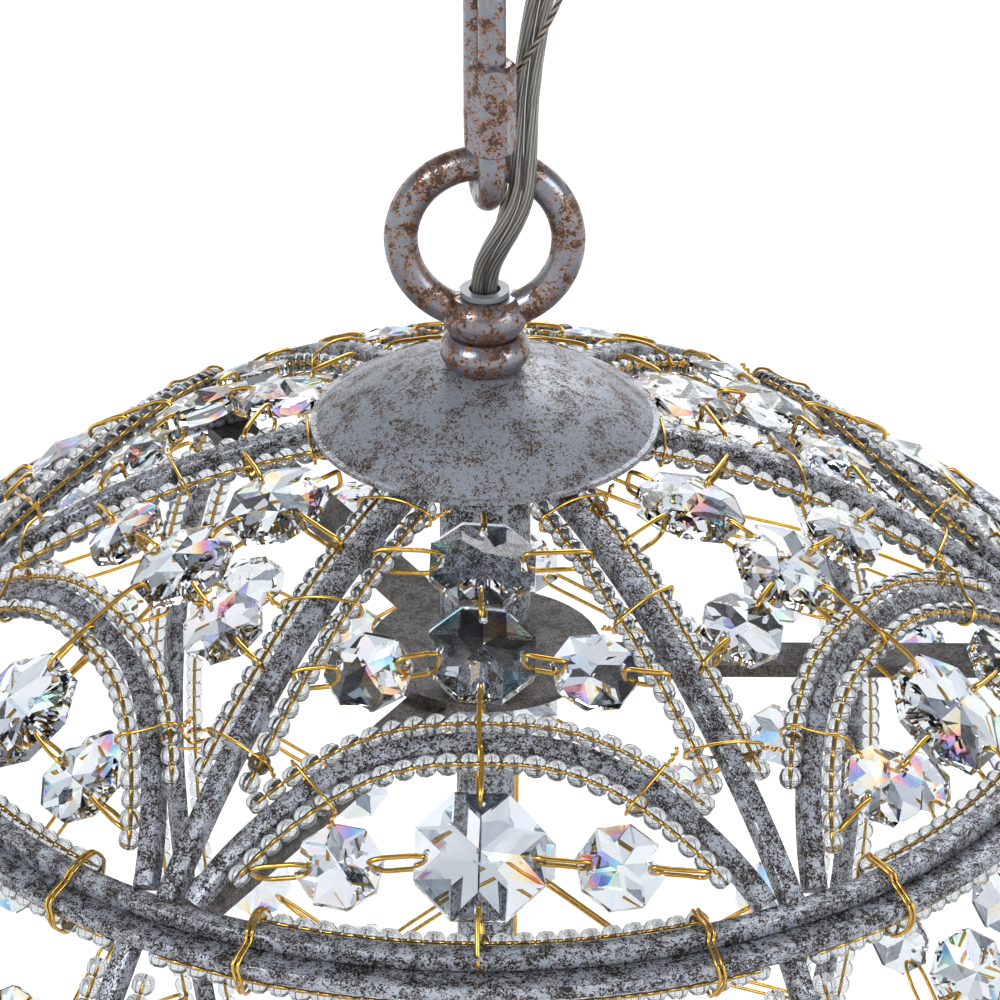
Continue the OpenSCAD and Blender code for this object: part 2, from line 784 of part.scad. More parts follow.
crossbar();
canopy();
canopy_locknut();
canopy_loop();
canopy_bush();
quick_link();
link_sleeve();
cord_upper();
earth_wire_upper();
cord_lower();
earth_wire_lower();
eye_loop();
loop_bush();
loop_collar();
hub_nipple();
cap();
stem_tube();
dome_crown();
dome_bars();
dome_ring();
dome_arch_1();
dome_arch_2();
dome_arch_3();
dome_arch_4();
dome_arch_5();
dome_arch_6();
spider_disc();
spider_spokes();
basket_top_ring();
basket_bar_1();
basket_bar_2();
basket_bar_3();
basket_bar_4();
basket_bar_5();
basket_bar_6();
basket_low_ring();
basket_arches();
basket_plate();
lower_rod();
finial();
lamp_hub();
lamp_arms();
candle_cups();
lamp_holders();
candle_sleeves();
lamps();
dome_strands();
basket_strands();
bottom_strands();
dome_octagons_large();
dome_octagons_medium();
dome_octagons_small();
basket_octagons_medium();
basket_octagons_small();
bottom_octagons();
crystal_clips();
frame_ties();
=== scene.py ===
"""Globe pendant chandelier: the looks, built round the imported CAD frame.

Everything is in metres, in the frame of the CAD part: the origin is on the ceiling at the centre of
the canopy, and +Z points up. Azimuth is counted from -Y towards +X, and a polar angle from the top of
the globe. Each sub-assembly is a class that builds its meshes and dresses them.
"""

import logging
from dataclasses import dataclass, field
from enum import Enum
from math import acos, asin, cos, degrees, pi, radians, sin, sqrt

import bmesh
import bpy
from mathutils import Matrix, Vector


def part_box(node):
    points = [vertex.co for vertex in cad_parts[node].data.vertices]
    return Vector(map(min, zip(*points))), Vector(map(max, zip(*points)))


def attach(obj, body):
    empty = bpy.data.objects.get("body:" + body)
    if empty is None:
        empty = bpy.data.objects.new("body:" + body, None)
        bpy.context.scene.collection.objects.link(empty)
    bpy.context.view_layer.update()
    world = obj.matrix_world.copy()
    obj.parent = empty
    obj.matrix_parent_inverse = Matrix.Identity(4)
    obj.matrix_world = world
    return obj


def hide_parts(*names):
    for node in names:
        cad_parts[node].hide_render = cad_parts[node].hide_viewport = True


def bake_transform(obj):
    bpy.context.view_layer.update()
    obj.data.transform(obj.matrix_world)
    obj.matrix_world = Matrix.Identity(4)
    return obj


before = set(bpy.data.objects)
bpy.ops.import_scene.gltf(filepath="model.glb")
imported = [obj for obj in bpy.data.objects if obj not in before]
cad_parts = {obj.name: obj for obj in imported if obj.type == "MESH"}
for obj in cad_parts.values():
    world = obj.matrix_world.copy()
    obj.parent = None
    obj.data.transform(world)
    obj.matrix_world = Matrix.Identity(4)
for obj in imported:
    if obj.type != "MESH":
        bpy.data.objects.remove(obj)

LOG = logging.getLogger("chandelier")

MM = 0.001
PANELS = 6
SECTOR = 360.0 / PANELS
UP = Vector((0.0, 0.0, 1.0))
# Turn of the basket under the dome, in degrees
BASKET_TURN = -2.0

Colour = tuple[float, float, float, float]
Socket = bpy.types.NodeSocket
Inputs = dict[int | str, object]
Outline = list[tuple[float, float]]


class Body(str, Enum):
    """The CAD bodies that new pieces ride on."""

    CEILING = "ceiling_canopy"
    LINK = "screw_link"
    FIXTURE = "fixture"


class Slot(str, Enum):
    """The record's material slots, named for new pieces; a cord's slot picks its finish."""

    FRAME = "frame_silver"
    CORD = "clear_cord"
    EARTH = "earth_wire"
    GOLD = "gold_wire"
    CRYSTAL = "crystal"
    BEAD = "bead_glass"
    LAMP = "lamp_glass"


# --- Small tools ---


def colour(hex_code: str) -> Colour:
    """Turn an sRGB hex colour into linear light.

    Args:
        hex_code: six hex digits after a hash.

    Returns:
        Linear red, green, blue and an alpha of 1.
    """
    levels = [int(hex_code[i:i + 2], 16) / 255 for i in (1, 3, 5)]
    linear = [v / 12.92 if v <= 0.04045 else ((v + 0.055) / 1.055) ** 2.4 for v in levels]
    return (linear[0], linear[1], linear[2], 1.0)


def add_node(
    tree: bpy.types.NodeTree,
    kind: str,
    inputs: Inputs | None = None,
    stops: list[tuple[float, Colour]] | None = None,
    **settings: object,
) -> bpy.types.Node:
    """Add a node with its settings, its input values and its links.

    Args:
        tree: the tree to add it to.
        kind: the node's type.
        inputs: a value, or an output socket to link, for each input by name or number.
        stops: place and colour of each stop, on a colour ramp.
        settings: the node's own properties.

    Returns:
        The new node.
    """
    made = tree.nodes.new(kind)
    for name, value in settings.items():
        setattr(made, name, value)
    for key, value in (inputs or {}).items():
        if isinstance(value, bpy.types.NodeSocket):
            tree.links.new(value, made.inputs[key])
        else:
            made.inputs[key].default_value = value
    if stops:
        elements = made.color_ramp.elements
        while len(elements) < len(stops):
            elements.new(1.0)
        for element, (place, tint) in zip(elements, stops):
            element.position = place
            element.color = tint
    return made


class TreeBuild:
    """A node tree under construction."""

    tree: bpy.types.NodeTree

    def add(self, kind: str, inputs: Inputs | None = None, **settings: object) -> bpy.types.Node:
        """Add a node to this tree."""
        return add_node(self.tree, kind, inputs, **settings)


def new_object(name: str, mesh: bpy.types.Mesh) -> bpy.types.Object:
    """Link a mesh into the scene as an object at the origin."""
    made = bpy.data.objects.new(name, mesh)
    bpy.context.scene.collection.objects.link(made)
    return made


def mesh_from(name: str, points: list[Vector], faces: list[list[int]],
              smooth: bool = True) -> bpy.types.Mesh:
    """Make a mesh with outward faces from points and faces.

    Args:
        name: the mesh's name.
        points: its vertices.
        faces: its faces, as vertex numbers.
        smooth: shade it smooth.

    Returns:
        The mesh, with doubles merged and normals pointing out.
    """
    mesh = bpy.data.meshes.new(name)
    mesh.from_pydata([tuple(p) for p in points], [], faces)
    shape = bmesh.new()
    shape.from_mesh(mesh)
    bmesh.ops.remove_doubles(shape, verts=shape.verts, dist=1e-7)
    bmesh.ops.recalc_face_normals(shape, faces=shape.faces)
    for face in shape.faces:
        face.smooth = smooth
    shape.to_mesh(mesh)
    shape.free()
    return mesh


def lathe(name: str, profile: Outline, segments: int, places: list[Matrix]) -> bpy.types.Mesh:
    """Turn a closed outline about Z, once for each place.

    Args:
        name: the mesh's name.
        profile: radius and height of the outline's points, in order round it.
        segments: sides of a full turn.
        places: where each copy stands.

    Returns:
        One mesh of all the copies.
    """
    points: list[Vector] = []
    faces: list[list[int]] = []
    count = len(profile)
    for place in places:
        base = len(points)
        for s in range(segments):
            turn = 2 * pi * s / segments
            points += [place @ Vector((r * cos(turn), r * sin(turn), z)) for r, z in profile]
        for s in range(segments):
            here, there = base + s * count, base + (s + 1) % segments * count
            for k in range(count):
                ahead = (k + 1) % count
                faces.append([here + k, there + k, there + ahead, here + ahead])
    return mesh_from(name, points, faces)


def arc(centre: tuple[float, float], radius: float, start: float, end: float, steps: int) -> Outline:
    """Points along an arc of an outline, with angles in degrees."""
    return [
        (centre[0] + radius * cos(radians(start + (end - start) * i / steps)),
         centre[1] + radius * sin(radians(start + (end - start) * i / steps)))
        for i in range(steps + 1)
    ]


def smooth_route(route: list[Vector], steps: int) -> list[Vector]:
    """Pass one smooth curve through a route's points.

    Args:
        route: the points, in order.
        steps: pieces between two of them.

    Returns:
        The points of the curve.
    """
    ends = [2 * route[0] - route[1], *route, 2 * route[-1] - route[-2]]
    curve = []
    for i in range(1, len(ends) - 2):
        a, b, c, d = ends[i - 1:i + 3]
        for k in range(steps):
            t = k / steps
            curve.append(0.5 * (2 * b + (c - a) * t + (2 * a - 5 * b + 4 * c - d) * t ** 2
                                + (3 * b - a - 3 * c + d) * t ** 3))
    return curve + [route[-1].copy()]


def dress(material: bpy.types.Material, *node_names: str) -> None:
    """Give CAD nodes their finish."""
    for node_name in node_names:
        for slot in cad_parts[node_name].material_slots:
            slot.material = material
        LOG.info("dressed %s in %s", node_name, material.name)


def report(piece: bpy.types.Object) -> None:
    """Log a finished piece and its size."""
    LOG.info("built %s: %d faces", piece.name, len(piece.data.polygons))


def settle(piece: bpy.types.Object, slot: Slot, *nodes: str) -> None:
    """Put a finished piece on the fixture, in place of the CAD nodes that are named."""
    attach(piece, Body.FIXTURE.value)
    if nodes:
        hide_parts(*nodes)


# --- The globe that the frame's bars lie on ---


@dataclass(frozen=True)
class Globe:
    """The sphere through the outer faces of the bars, with the bars' own sizes."""

    rim_z: float
    radius: float = 143.2 * MM
    below_rim: float = 141 * MM
    bar_width: float = 3.4 * MM
    bar_depth: float = 3.6 * MM
    strand_sink: float = 2.5 * MM
    strand_side: float = 4.55 * MM
    arch_side: float = 3.65 * MM
    arch_sink: float = 0.9 * MM

    @property
    def centre(self) -> Vector:
        """Centre of the sphere."""
        return Vector((0.0, 0.0, self.rim_z - self.below_rim))

    @property
    def crystal_radius(self) -> float:
        """Radius of the sphere through the middles of the crystals."""
        return self.radius - self.bar_depth / 2

    @property
    def strand_radius(self) -> float:
        """Radius of the sphere through the bead strands."""
        return self.radius - self.strand_sink

    def at(self, polar: float, azimuth: float, radius: float) -> Vector:
        """Point at a polar angle and an azimuth, in degrees, and a distance from the centre."""
        p, a = radians(polar), radians(azimuth)
        return self.centre + radius * Vector((sin(p) * sin(a), -sin(p) * cos(a), cos(p)))

    def out(self, point: Vector) -> Vector:
        """Direction out of the globe at a point."""
        return (point - self.centre).normalized()

    def polar_of(self, r: float) -> float:
        """Polar angle in degrees at a distance r from the axis, on the crystals' sphere."""
        return degrees(asin(r / self.crystal_radius))

    def lower(self, point: Vector) -> Vector:
        """Mirror a point from the upper half of the globe into the lower half."""
        return Vector((point.x, point.y, 2 * self.centre.z - point.z))


@dataclass(frozen=True)
class Arch:
    """One arch of the cage, between two bars, over its ring."""

    globe: Globe
    foot_r: float = 104.6 * MM
    crown_r: float = 74.5 * MM
    inward: float = 1.43
    sideways: float = 0.8
    half_angle: float = 27.9

    def radius_at(self, station: float) -> float:
        """Distance from the axis at a station, from 0 at one foot to 180 at the other."""
        return self.foot_r - (self.foot_r - self.crown_r) * max(sin(radians(station)), 0.0) ** self.inward

    def azimuth_at(self, station: float) -> float:
        """Azimuth off the panel's middle at a station."""
        run = cos(radians(station))
        return self.half_angle * (1 if run > 0 else -1) * abs(run) ** self.sideways

    def point(self, station: float, radius: float, azimuth: float) -> Vector:
        """Point of the arch of the panel at an azimuth, on a sphere of a radius."""
        r = self.radius_at(station)
        a = radians(azimuth + self.azimuth_at(station))
        height = sqrt(self.globe.radius ** 2 - r * r)
        return self.globe.centre + radius / self.globe.radius * Vector((r * sin(a), -r * cos(a), height))

    def path(self, radius: float, azimuth: float, end: float, steps: int,
             side: float = 0.0) -> list[Vector]:
        """Points along the arch.

        Args:
            radius: of the sphere that it lies on.
            azimuth: of the panel's middle.
            end: the station that it starts at, and stops as far from the other foot.
            steps: pieces of it.
            side: how far it is moved to the crown side of the arch's own line.

        Returns:
            The points.
        """
        stations = [end + (180 - 2 * end) * i / steps for i in range(steps + 1)]
        middle = [self.point(s, radius, azimuth) for s in stations]
        moved = []
        for i, here in enumerate(middle):
            along = (middle[min(i + 1, steps)] - middle[max(i - 1, 0)]).normalized()
            moved.append(here + side * along.cross(self.globe.out(here)).normalized())
        return moved


@dataclass
class Line:
    """A path for a bar, a strand or a wire."""

    points: list[Vector]
    outward: list[Vector] = field(default_factory=list)
    closed: bool = False

    def moved(self, place: Matrix) -> "Line":
        """The same path in another place."""
        turn = place.to_3x3()
        return Line([place @ p for p in self.points], [turn @ v for v in self.outward], self.closed)


def lines_mesh(name: str, lines: list[Line]) -> bpy.types.Mesh:
    """Put paths into one mesh of edges, with the outward direction as an attribute."""
    points: list[Vector] = []
    edges: list[tuple[int, int]] = []
    outward: list[float] = []
    for line in lines:
        base, count = len(points), len(line.points)
        points += line.points
        for v in line.outward or [UP] * count:
            outward += [v.x, v.y, v.z]
        edges += [(base + i, base + i + 1) for i in range(count - 1)]
        if line.closed:
            edges.append((base + count - 1, base))
    mesh = bpy.data.meshes.new(name)
    mesh.from_pydata([tuple(p) for p in points], edges, [])
    mesh.attributes.new("outward", "FLOAT_VECTOR", "POINT").data.foreach_set("vector", outward)
    return mesh


# --- Geometry Nodes trees ---


class NodeBuild(TreeBuild):
    """A Geometry Nodes tree with named inputs, run once on a carrier mesh and baked."""

    def __init__(self, name: str, sockets: dict[str, str]) -> None:
        """Start the tree.

        Args:
            name: the tree's name.
            sockets: the socket type of each named input.
        """
        self.tree = bpy.data.node_groups.new(name, "GeometryNodeTree")
        self.tree.interface.new_socket("Geometry", in_out="INPUT", socket_type="NodeSocketGeometry")
        for label, kind in sockets.items():
            self.tree.interface.new_socket(label, in_out="INPUT", socket_type=kind)
        self.tree.interface.new_socket("Geometry", in_out="OUTPUT", socket_type="NodeSocketGeometry")
        self.inputs = self.tree.nodes.new("NodeGroupInput").outputs

    def close_sweep(self, curve: Socket, outline: Socket) -> None:
        """Sweep an outline along curves, smooth and in the Finish input, and end the tree."""
        swept = self.add("GeometryNodeCurveToMesh",
                         {"Curve": curve, "Profile Curve": outline, "Fill Caps": True})
        shaded = self.add("GeometryNodeSetShadeSmooth",
                          {"Geometry": swept.outputs[0], "Shade Smooth": True})
        dressed = self.add("GeometryNodeSetMaterial",
                           {"Geometry": shaded.outputs[0], "Material": self.inputs["Finish"]})
        self.close(dressed.outputs[0])

    def close(self, geometry: Socket) -> None:
        """Realize the result and send it to the output."""
        real = self.add("GeometryNodeRealizeInstances", {"Geometry": geometry})
        self.tree.links.new(real.outputs[0], self.tree.nodes.new("NodeGroupOutput").inputs[0])

    def run(self, name: str, carrier: bpy.types.Mesh, values: dict[str, object]) -> bpy.types.Object:
        """Run the tree on a carrier and keep the result as a plain mesh.

        Args:
            name: the piece's name.
            carrier: the mesh of edges or points that the tree starts from.
            values: a value for each named input.

        Returns:
            The piece, with no modifier left on it.
        """
        piece = new_object(name, carrier)
        modifier = piece.modifiers.new("build", "NODES")
        modifier.node_group = self.tree
        for item in self.tree.interface.items_tree:
            if item.in_out == "INPUT" and item.name in values:
                modifier[item.identifier] = values[item.name]
        depsgraph = bpy.context.evaluated_depsgraph_get()
        baked = bpy.data.meshes.new_from_object(
            piece.evaluated_get(depsgraph), preserve_all_data_layers=True, depsgraph=depsgraph)
        piece.modifiers.remove(modifier)
        piece.data = baked
        baked.name = name
        bpy.data.meshes.remove(carrier)
        report(piece)
        return piece


def bar_tree() -> NodeBuild:
    """Tree that runs a rectangular bar with eased edges along its paths."""
    build = NodeBuild("cage_bar", {
        "Width": "NodeSocketFloat", "Depth": "NodeSocketFloat", "Edge": "NodeSocketFloat",
        "Finish": "NodeSocketMaterial"})
    curve = build.add("GeometryNodeMeshToCurve", {"Mesh": build.inputs["Geometry"]})
    outward = build.add("GeometryNodeInputNamedAttribute", {"Name": "outward"}, data_type="FLOAT_VECTOR")
    held = build.add("GeometryNodeSetCurveNormal",
                     {"Curve": curve.outputs[0], "Normal": outward.outputs[0]}, mode="FREE")
    outline = build.add("GeometryNodeCurvePrimitiveQuadrilateral",
                        {"Width": build.inputs["Depth"], "Height": build.inputs["Width"]})
    eased = build.add("GeometryNodeFilletCurve",
                      {"Curve": outline.outputs[0], "Count": 2, "Radius": build.inputs["Edge"]},
                      mode="POLY")
    build.close_sweep(held.outputs[0], eased.outputs[0])
    return build


def wire_tree() -> NodeBuild:
    """Tree that runs a round wire along its paths."""
    build = NodeBuild("round_wire", {
        "Radius": "NodeSocketFloat", "Sides": "NodeSocketInt", "Finish": "NodeSocketMaterial"})
    curve = build.add("GeometryNodeMeshToCurve", {"Mesh": build.inputs["Geometry"]})
    outline = build.add("GeometryNodeCurvePrimitiveCircle",
                        {"Resolution": build.inputs["Sides"], "Radius": build.inputs["Radius"]})
    build.close_sweep(curve.outputs[0], outline.outputs[0])
    return build


def strand_tree() -> NodeBuild:
    """Tree that threads beads on a wire along its paths."""
    build = NodeBuild("bead_strand", {
        "Bead": "NodeSocketObject", "Pitch": "NodeSocketFloat", "Uneven": "NodeSocketFloat",
        "Wire radius": "NodeSocketFloat", "Wire finish": "NodeSocketMaterial", "Seed": "NodeSocketInt"})
    curve = build.add("GeometryNodeMeshToCurve", {"Mesh": build.inputs["Geometry"]})
    spots = build.add("GeometryNodeCurveToPoints",
                      {"Curve": curve.outputs[0], "Length": build.inputs["Pitch"]}, mode="LENGTH")
    bead = build.add("GeometryNodeObjectInfo", {"Object": build.inputs["Bead"]})
    least = build.add("ShaderNodeMath", {0: 1.0, 1: build.inputs["Uneven"]}, operation="SUBTRACT")
    most = build.add("ShaderNodeMath", {0: 1.0, 1: build.inputs["Uneven"]}, operation="ADD")
    size = build.add("FunctionNodeRandomValue",
                     {2: least.outputs[0], 3: most.outputs[0], "Seed": build.inputs["Seed"]},
                     data_type="FLOAT")
    beads = build.add("GeometryNodeInstanceOnPoints", {
        "Points": spots.outputs["Points"], "Instance": bead.outputs["Geometry"],
        "Rotation": spots.outputs["Rotation"], "Scale": size.outputs[1]})
    outline = build.add("GeometryNodeCurvePrimitiveCircle",
                        {"Resolution": 6, "Radius": build.inputs["Wire radius"]})
    swept = build.add("GeometryNodeCurveToMesh",
                      {"Curve": curve.outputs[0], "Profile Curve": outline.outputs[0], "Fill Caps": True})
    wire = build.add("GeometryNodeSetMaterial",
                     {"Geometry": swept.outputs[0], "Material": build.inputs["Wire finish"]})
    real = build.add("GeometryNodeRealizeInstances", {"Geometry": beads.outputs[0]})
    both = build.add("GeometryNodeJoinGeometry", {0: real.outputs[0]})
    build.tree.links.new(wire.outputs[0], both.inputs[0])
    shaded = build.add("GeometryNodeSetShadeSmooth", {"Geometry": both.outputs[0], "Shade Smooth": True})
    build.close(shaded.outputs[0])
    return build


def setting_tree() -> NodeBuild:
    """Tree that sets a cut crystal at each point, facing outwards, a little askew on its wires."""
    build = NodeBuild("crystal_setting", {
        "Crystal": "NodeSocketObject", "Askew": "NodeSocketFloat", "Seed": "NodeSocketInt"})
    outward = build.add("GeometryNodeInputNamedAttribute", {"Name": "outward"}, data_type="FLOAT_VECTOR")
    upright = build.add("FunctionNodeAxesToRotation",
                        {"Primary Axis": outward.outputs[0], "Secondary Axis": (0.0, 0.0, 1.0)},
                        primary_axis="Z", secondary_axis="Y")
    crystal = build.add("GeometryNodeObjectInfo", {"Object": build.inputs["Crystal"]})
    stones = build.add("GeometryNodeInstanceOnPoints", {
        "Points": build.inputs["Geometry"], "Instance": crystal.outputs["Geometry"],
        "Rotation": upright.outputs[0]})
    other = build.add("ShaderNodeMath", {0: build.inputs["Askew"], 1: -1.0}, operation="MULTIPLY")
    low = build.add("ShaderNodeCombineXYZ", {i: other.outputs[0] for i in range(3)})
    high = build.add("ShaderNodeCombineXYZ", {i: build.inputs["Askew"] for i in range(3)})
    tilt = build.add("FunctionNodeRandomValue",
                     {0: low.outputs[0], 1: high.outputs[0], "Seed": build.inputs["Seed"]},
                     data_type="FLOAT_VECTOR")
    askew = build.add("GeometryNodeRotateInstances",
                      {"Instances": stones.outputs[0], "Rotation": tilt.outputs[0], "Local Space": True})
    number = build.add("FunctionNodeRandomValue", {2: 0.0, 3: 1.0, "Seed": build.inputs["Seed"]},
                       data_type="FLOAT")
    marked = build.add("GeometryNodeStoreNamedAttribute",
                       {"Geometry": askew.outputs[0], "Name": "stone", "Value": number.outputs[1]},
                       data_type="FLOAT", domain="INSTANCE")
    build.close(marked.outputs[0])
    return build


# --- Finishes ---


class Look(TreeBuild):
    """A material under construction."""

    def __init__(self, name: str) -> None:
        """Start an empty material."""
        self.material = bpy.data.materials.new(name)
        self.material.use_nodes = True
        self.tree = self.material.node_tree
        self.tree.nodes.clear()

    def millimetres(self) -> Socket:
        """Place on the object, in real millimetres."""
        place = self.add("ShaderNodeTexCoord")
        scaled = self.add("ShaderNodeVectorMath",
                          {0: place.outputs["Object"], "Scale": 1 / MM}, operation="SCALE")
        return scaled.outputs[0]

    def close(self, inputs: Inputs) -> bpy.types.Material:
        """Add the surface with these inputs, and give the material."""
        shader = self.add("ShaderNodeBsdfPrincipled", inputs)
        self.add("ShaderNodeOutputMaterial", {"Surface": shader.outputs[0]})
        return self.material


@dataclass(frozen=True)
class SpongedPaint:
    """Steel under satin silver paint, sponged with brown wax that is rubbed back.

    The wax stays as blotches and short crackle marks, with a rusty fringe round them, and a low
    clear coat gives broad soft highlights.
    """

    name: str
    paint: str
    shade: str
    mark: str
    fringe: str
    patch_mm: float
    speck_mm: float
    patch_share: float
    cover: float
    crackle: float
    roughness: float
    metallic: float
    bump: float = 0.3
    coat: float = 0.15

    def build(self) -> bpy.types.Material:
        """Make the material."""
        look = Look(self.name)
        mm = look.millimetres()
        patches = look.add("ShaderNodeTexNoise", {
            "Vector": mm, "Scale": 1 / self.patch_mm, "Detail": 3.0, "Roughness": 0.6,
            "Distortion": 0.6})
        specks = look.add("ShaderNodeTexNoise", {
            "Vector": mm, "Scale": 1 / self.speck_mm, "Detail": 2.0, "Roughness": 0.6,
            "Distortion": 1.6})
        blots = look.add("ShaderNodeMix", {
            0: self.patch_share, 2: specks.outputs["Fac"], 3: patches.outputs["Fac"]}, data_type="FLOAT")
        level = 0.5 + 0.22 * (0.5 - self.cover)
        blot = look.add("ShaderNodeMapRange", {
            "Value": blots.outputs[0], "From Min": level, "From Max": level + 0.02})
        edge = look.add("ShaderNodeMapRange", {
            "Value": blots.outputs[0], "From Min": level - 0.035, "From Max": level})
        ridge = look.add("ShaderNodeTexNoise", {
            "Vector": mm, "Scale": 0.7 / self.speck_mm, "Detail": 2.0, "Roughness": 0.6,
            "Distortion": 2.4})
        offset = look.add("ShaderNodeMath", {0: ridge.outputs["Fac"], 1: 0.5}, operation="SUBTRACT")
        depth = look.add("ShaderNodeMath", {0: offset.outputs[0]}, operation="ABSOLUTE")
        line = look.add("ShaderNodeMapRange", {
            "Value": depth.outputs[0], "From Min": 0.02, "From Max": 0.035, "To Min": 1.0, "To Max": 0.0})
        gate = look.add("ShaderNodeMapRange", {
            "Value": patches.outputs["Fac"], "From Min": 0.62 - 0.3 * self.crackle,
            "From Max": 0.68 - 0.3 * self.crackle})
        cracks = look.add("ShaderNodeMath", {0: line.outputs[0], 1: gate.outputs[0]},
                          operation="MULTIPLY")
        dark = look.add("ShaderNodeMath", {0: blot.outputs[0], 1: cracks.outputs[0]},
                        operation="MAXIMUM")
        clouds = look.add("ShaderNodeTexNoise", {
            "Vector": mm, "Scale": 1 / (4 * self.patch_mm), "Detail": 2.0})
        silver = look.add("ShaderNodeMix", {
            "Factor": clouds.outputs["Fac"], 6: colour(self.paint), 7: colour(self.shade)},
            data_type="RGBA")
        rusted = look.add("ShaderNodeMix", {
            "Factor": edge.outputs[0], 6: silver.outputs[2], 7: colour(self.fringe)}, data_type="RGBA")
        waxed = look.add("ShaderNodeMix", {
            "Factor": dark.outputs[0], 6: rusted.outputs[2], 7: colour(self.mark)}, data_type="RGBA")
        rough = look.add("ShaderNodeMapRange", {
            "Value": dark.outputs[0], "To Min": self.roughness, "To Max": min(self.roughness + 0.25, 0.8)})
        metal = look.add("ShaderNodeMapRange", {
            "Value": dark.outputs[0], "To Min": self.metallic, "To Max": 0.1})
        grain = look.add("ShaderNodeMath", {0: specks.outputs["Fac"], 1: dark.outputs[0]},
                         operation="ADD")
        bump = look.add("ShaderNodeBump", {
            "Height": grain.outputs[0], "Strength": self.bump, "Distance": 0.15 * MM})
        return look.close({
            "Base Color": waxed.outputs[2], "Roughness": rough.outputs[0], "Metallic": metal.outputs[0],
            "Normal": bump.outputs[0], "Coat Weight": self.coat, "Coat Roughness": 0.25})


@dataclass(frozen=True)
class PlainMetal:
    """Bare or plated metal with a fine drawn or turned grain."""

    name: str
    light: str
    dark: str
    grain_mm: float
    roughness: float

    def build(self) -> bpy.types.Material:
        """Make the material."""
        look = Look(self.name)
        mm = look.millimetres()
        grain = look.add("ShaderNodeTexNoise", {
            "Vector": mm, "Scale": 1 / self.grain_mm, "Detail": 3.0})
        tint = look.add("ShaderNodeMix", {
            "Factor": grain.outputs["Fac"], 6: colour(self.dark), 7: colour(self.light)}, data_type="RGBA")
        rough = look.add("ShaderNodeMapRange", {
            "Value": grain.outputs["Fac"], "To Min": self.roughness * 0.7, "To Max": self.roughness * 1.3})
        bump = look.add("ShaderNodeBump", {
            "Height": grain.outputs["Fac"], "Strength": 0.15, "Distance": 0.05 * MM})
        return look.close({
            "Base Color": tint.outputs[2], "Roughness": rough.outputs[0], "Metallic": 1.0,
            "Normal": bump.outputs[0]})


@dataclass(frozen=True)
class PlainPlastic:
    """Moulded plastic or card with a faint mottle."""

    name: str
    light: str
    dark: str
    mottle_mm: float
    roughness: float
    transmission: float = 0.0

    def build(self) -> bpy.types.Material:
        """Make the material."""
        look = Look(self.name)
        mm = look.millimetres()
        mottle = look.add("ShaderNodeTexNoise", {
            "Vector": mm, "Scale": 1 / self.mottle_mm, "Detail": 3.0})
        tint = look.add("ShaderNodeMix", {
            "Factor": mottle.outputs["Fac"], 6: colour(self.dark), 7: colour(self.light)},
            data_type="RGBA")
        bump = look.add("ShaderNodeBump", {
            "Height": mottle.outputs["Fac"], "Strength": 0.1, "Distance": 0.05 * MM})
        return look.close({
            "Base Color": tint.outputs[2], "Roughness": self.roughness, "Normal": bump.outputs[0],
            "Transmission Weight": self.transmission, "IOR": 1.5})


@dataclass(frozen=True)
class ClearGlass:
    """Clear glass with faint ripples of the melt, as in pressed beads and blown lamps."""

    name: str
    tint: str
    ripple_mm: float
    roughness: float
    ior: float = 1.5

    def build(self) -> bpy.types.Material:
        """Make the material."""
        look = Look(self.name)
        mm = look.millimetres()
        ripple = look.add("ShaderNodeTexNoise", {
            "Vector": mm, "Scale": 1 / self.ripple_mm, "Detail": 1.0})
        bump = look.add("ShaderNodeBump", {
            "Height": ripple.outputs["Fac"], "Strength": 0.12, "Distance": 0.1 * MM})
        return look.close({
            "Base Color": colour(self.tint), "Roughness": self.roughness, "Transmission Weight": 1.0,
            "IOR": self.ior, "Normal": bump.outputs[0]})


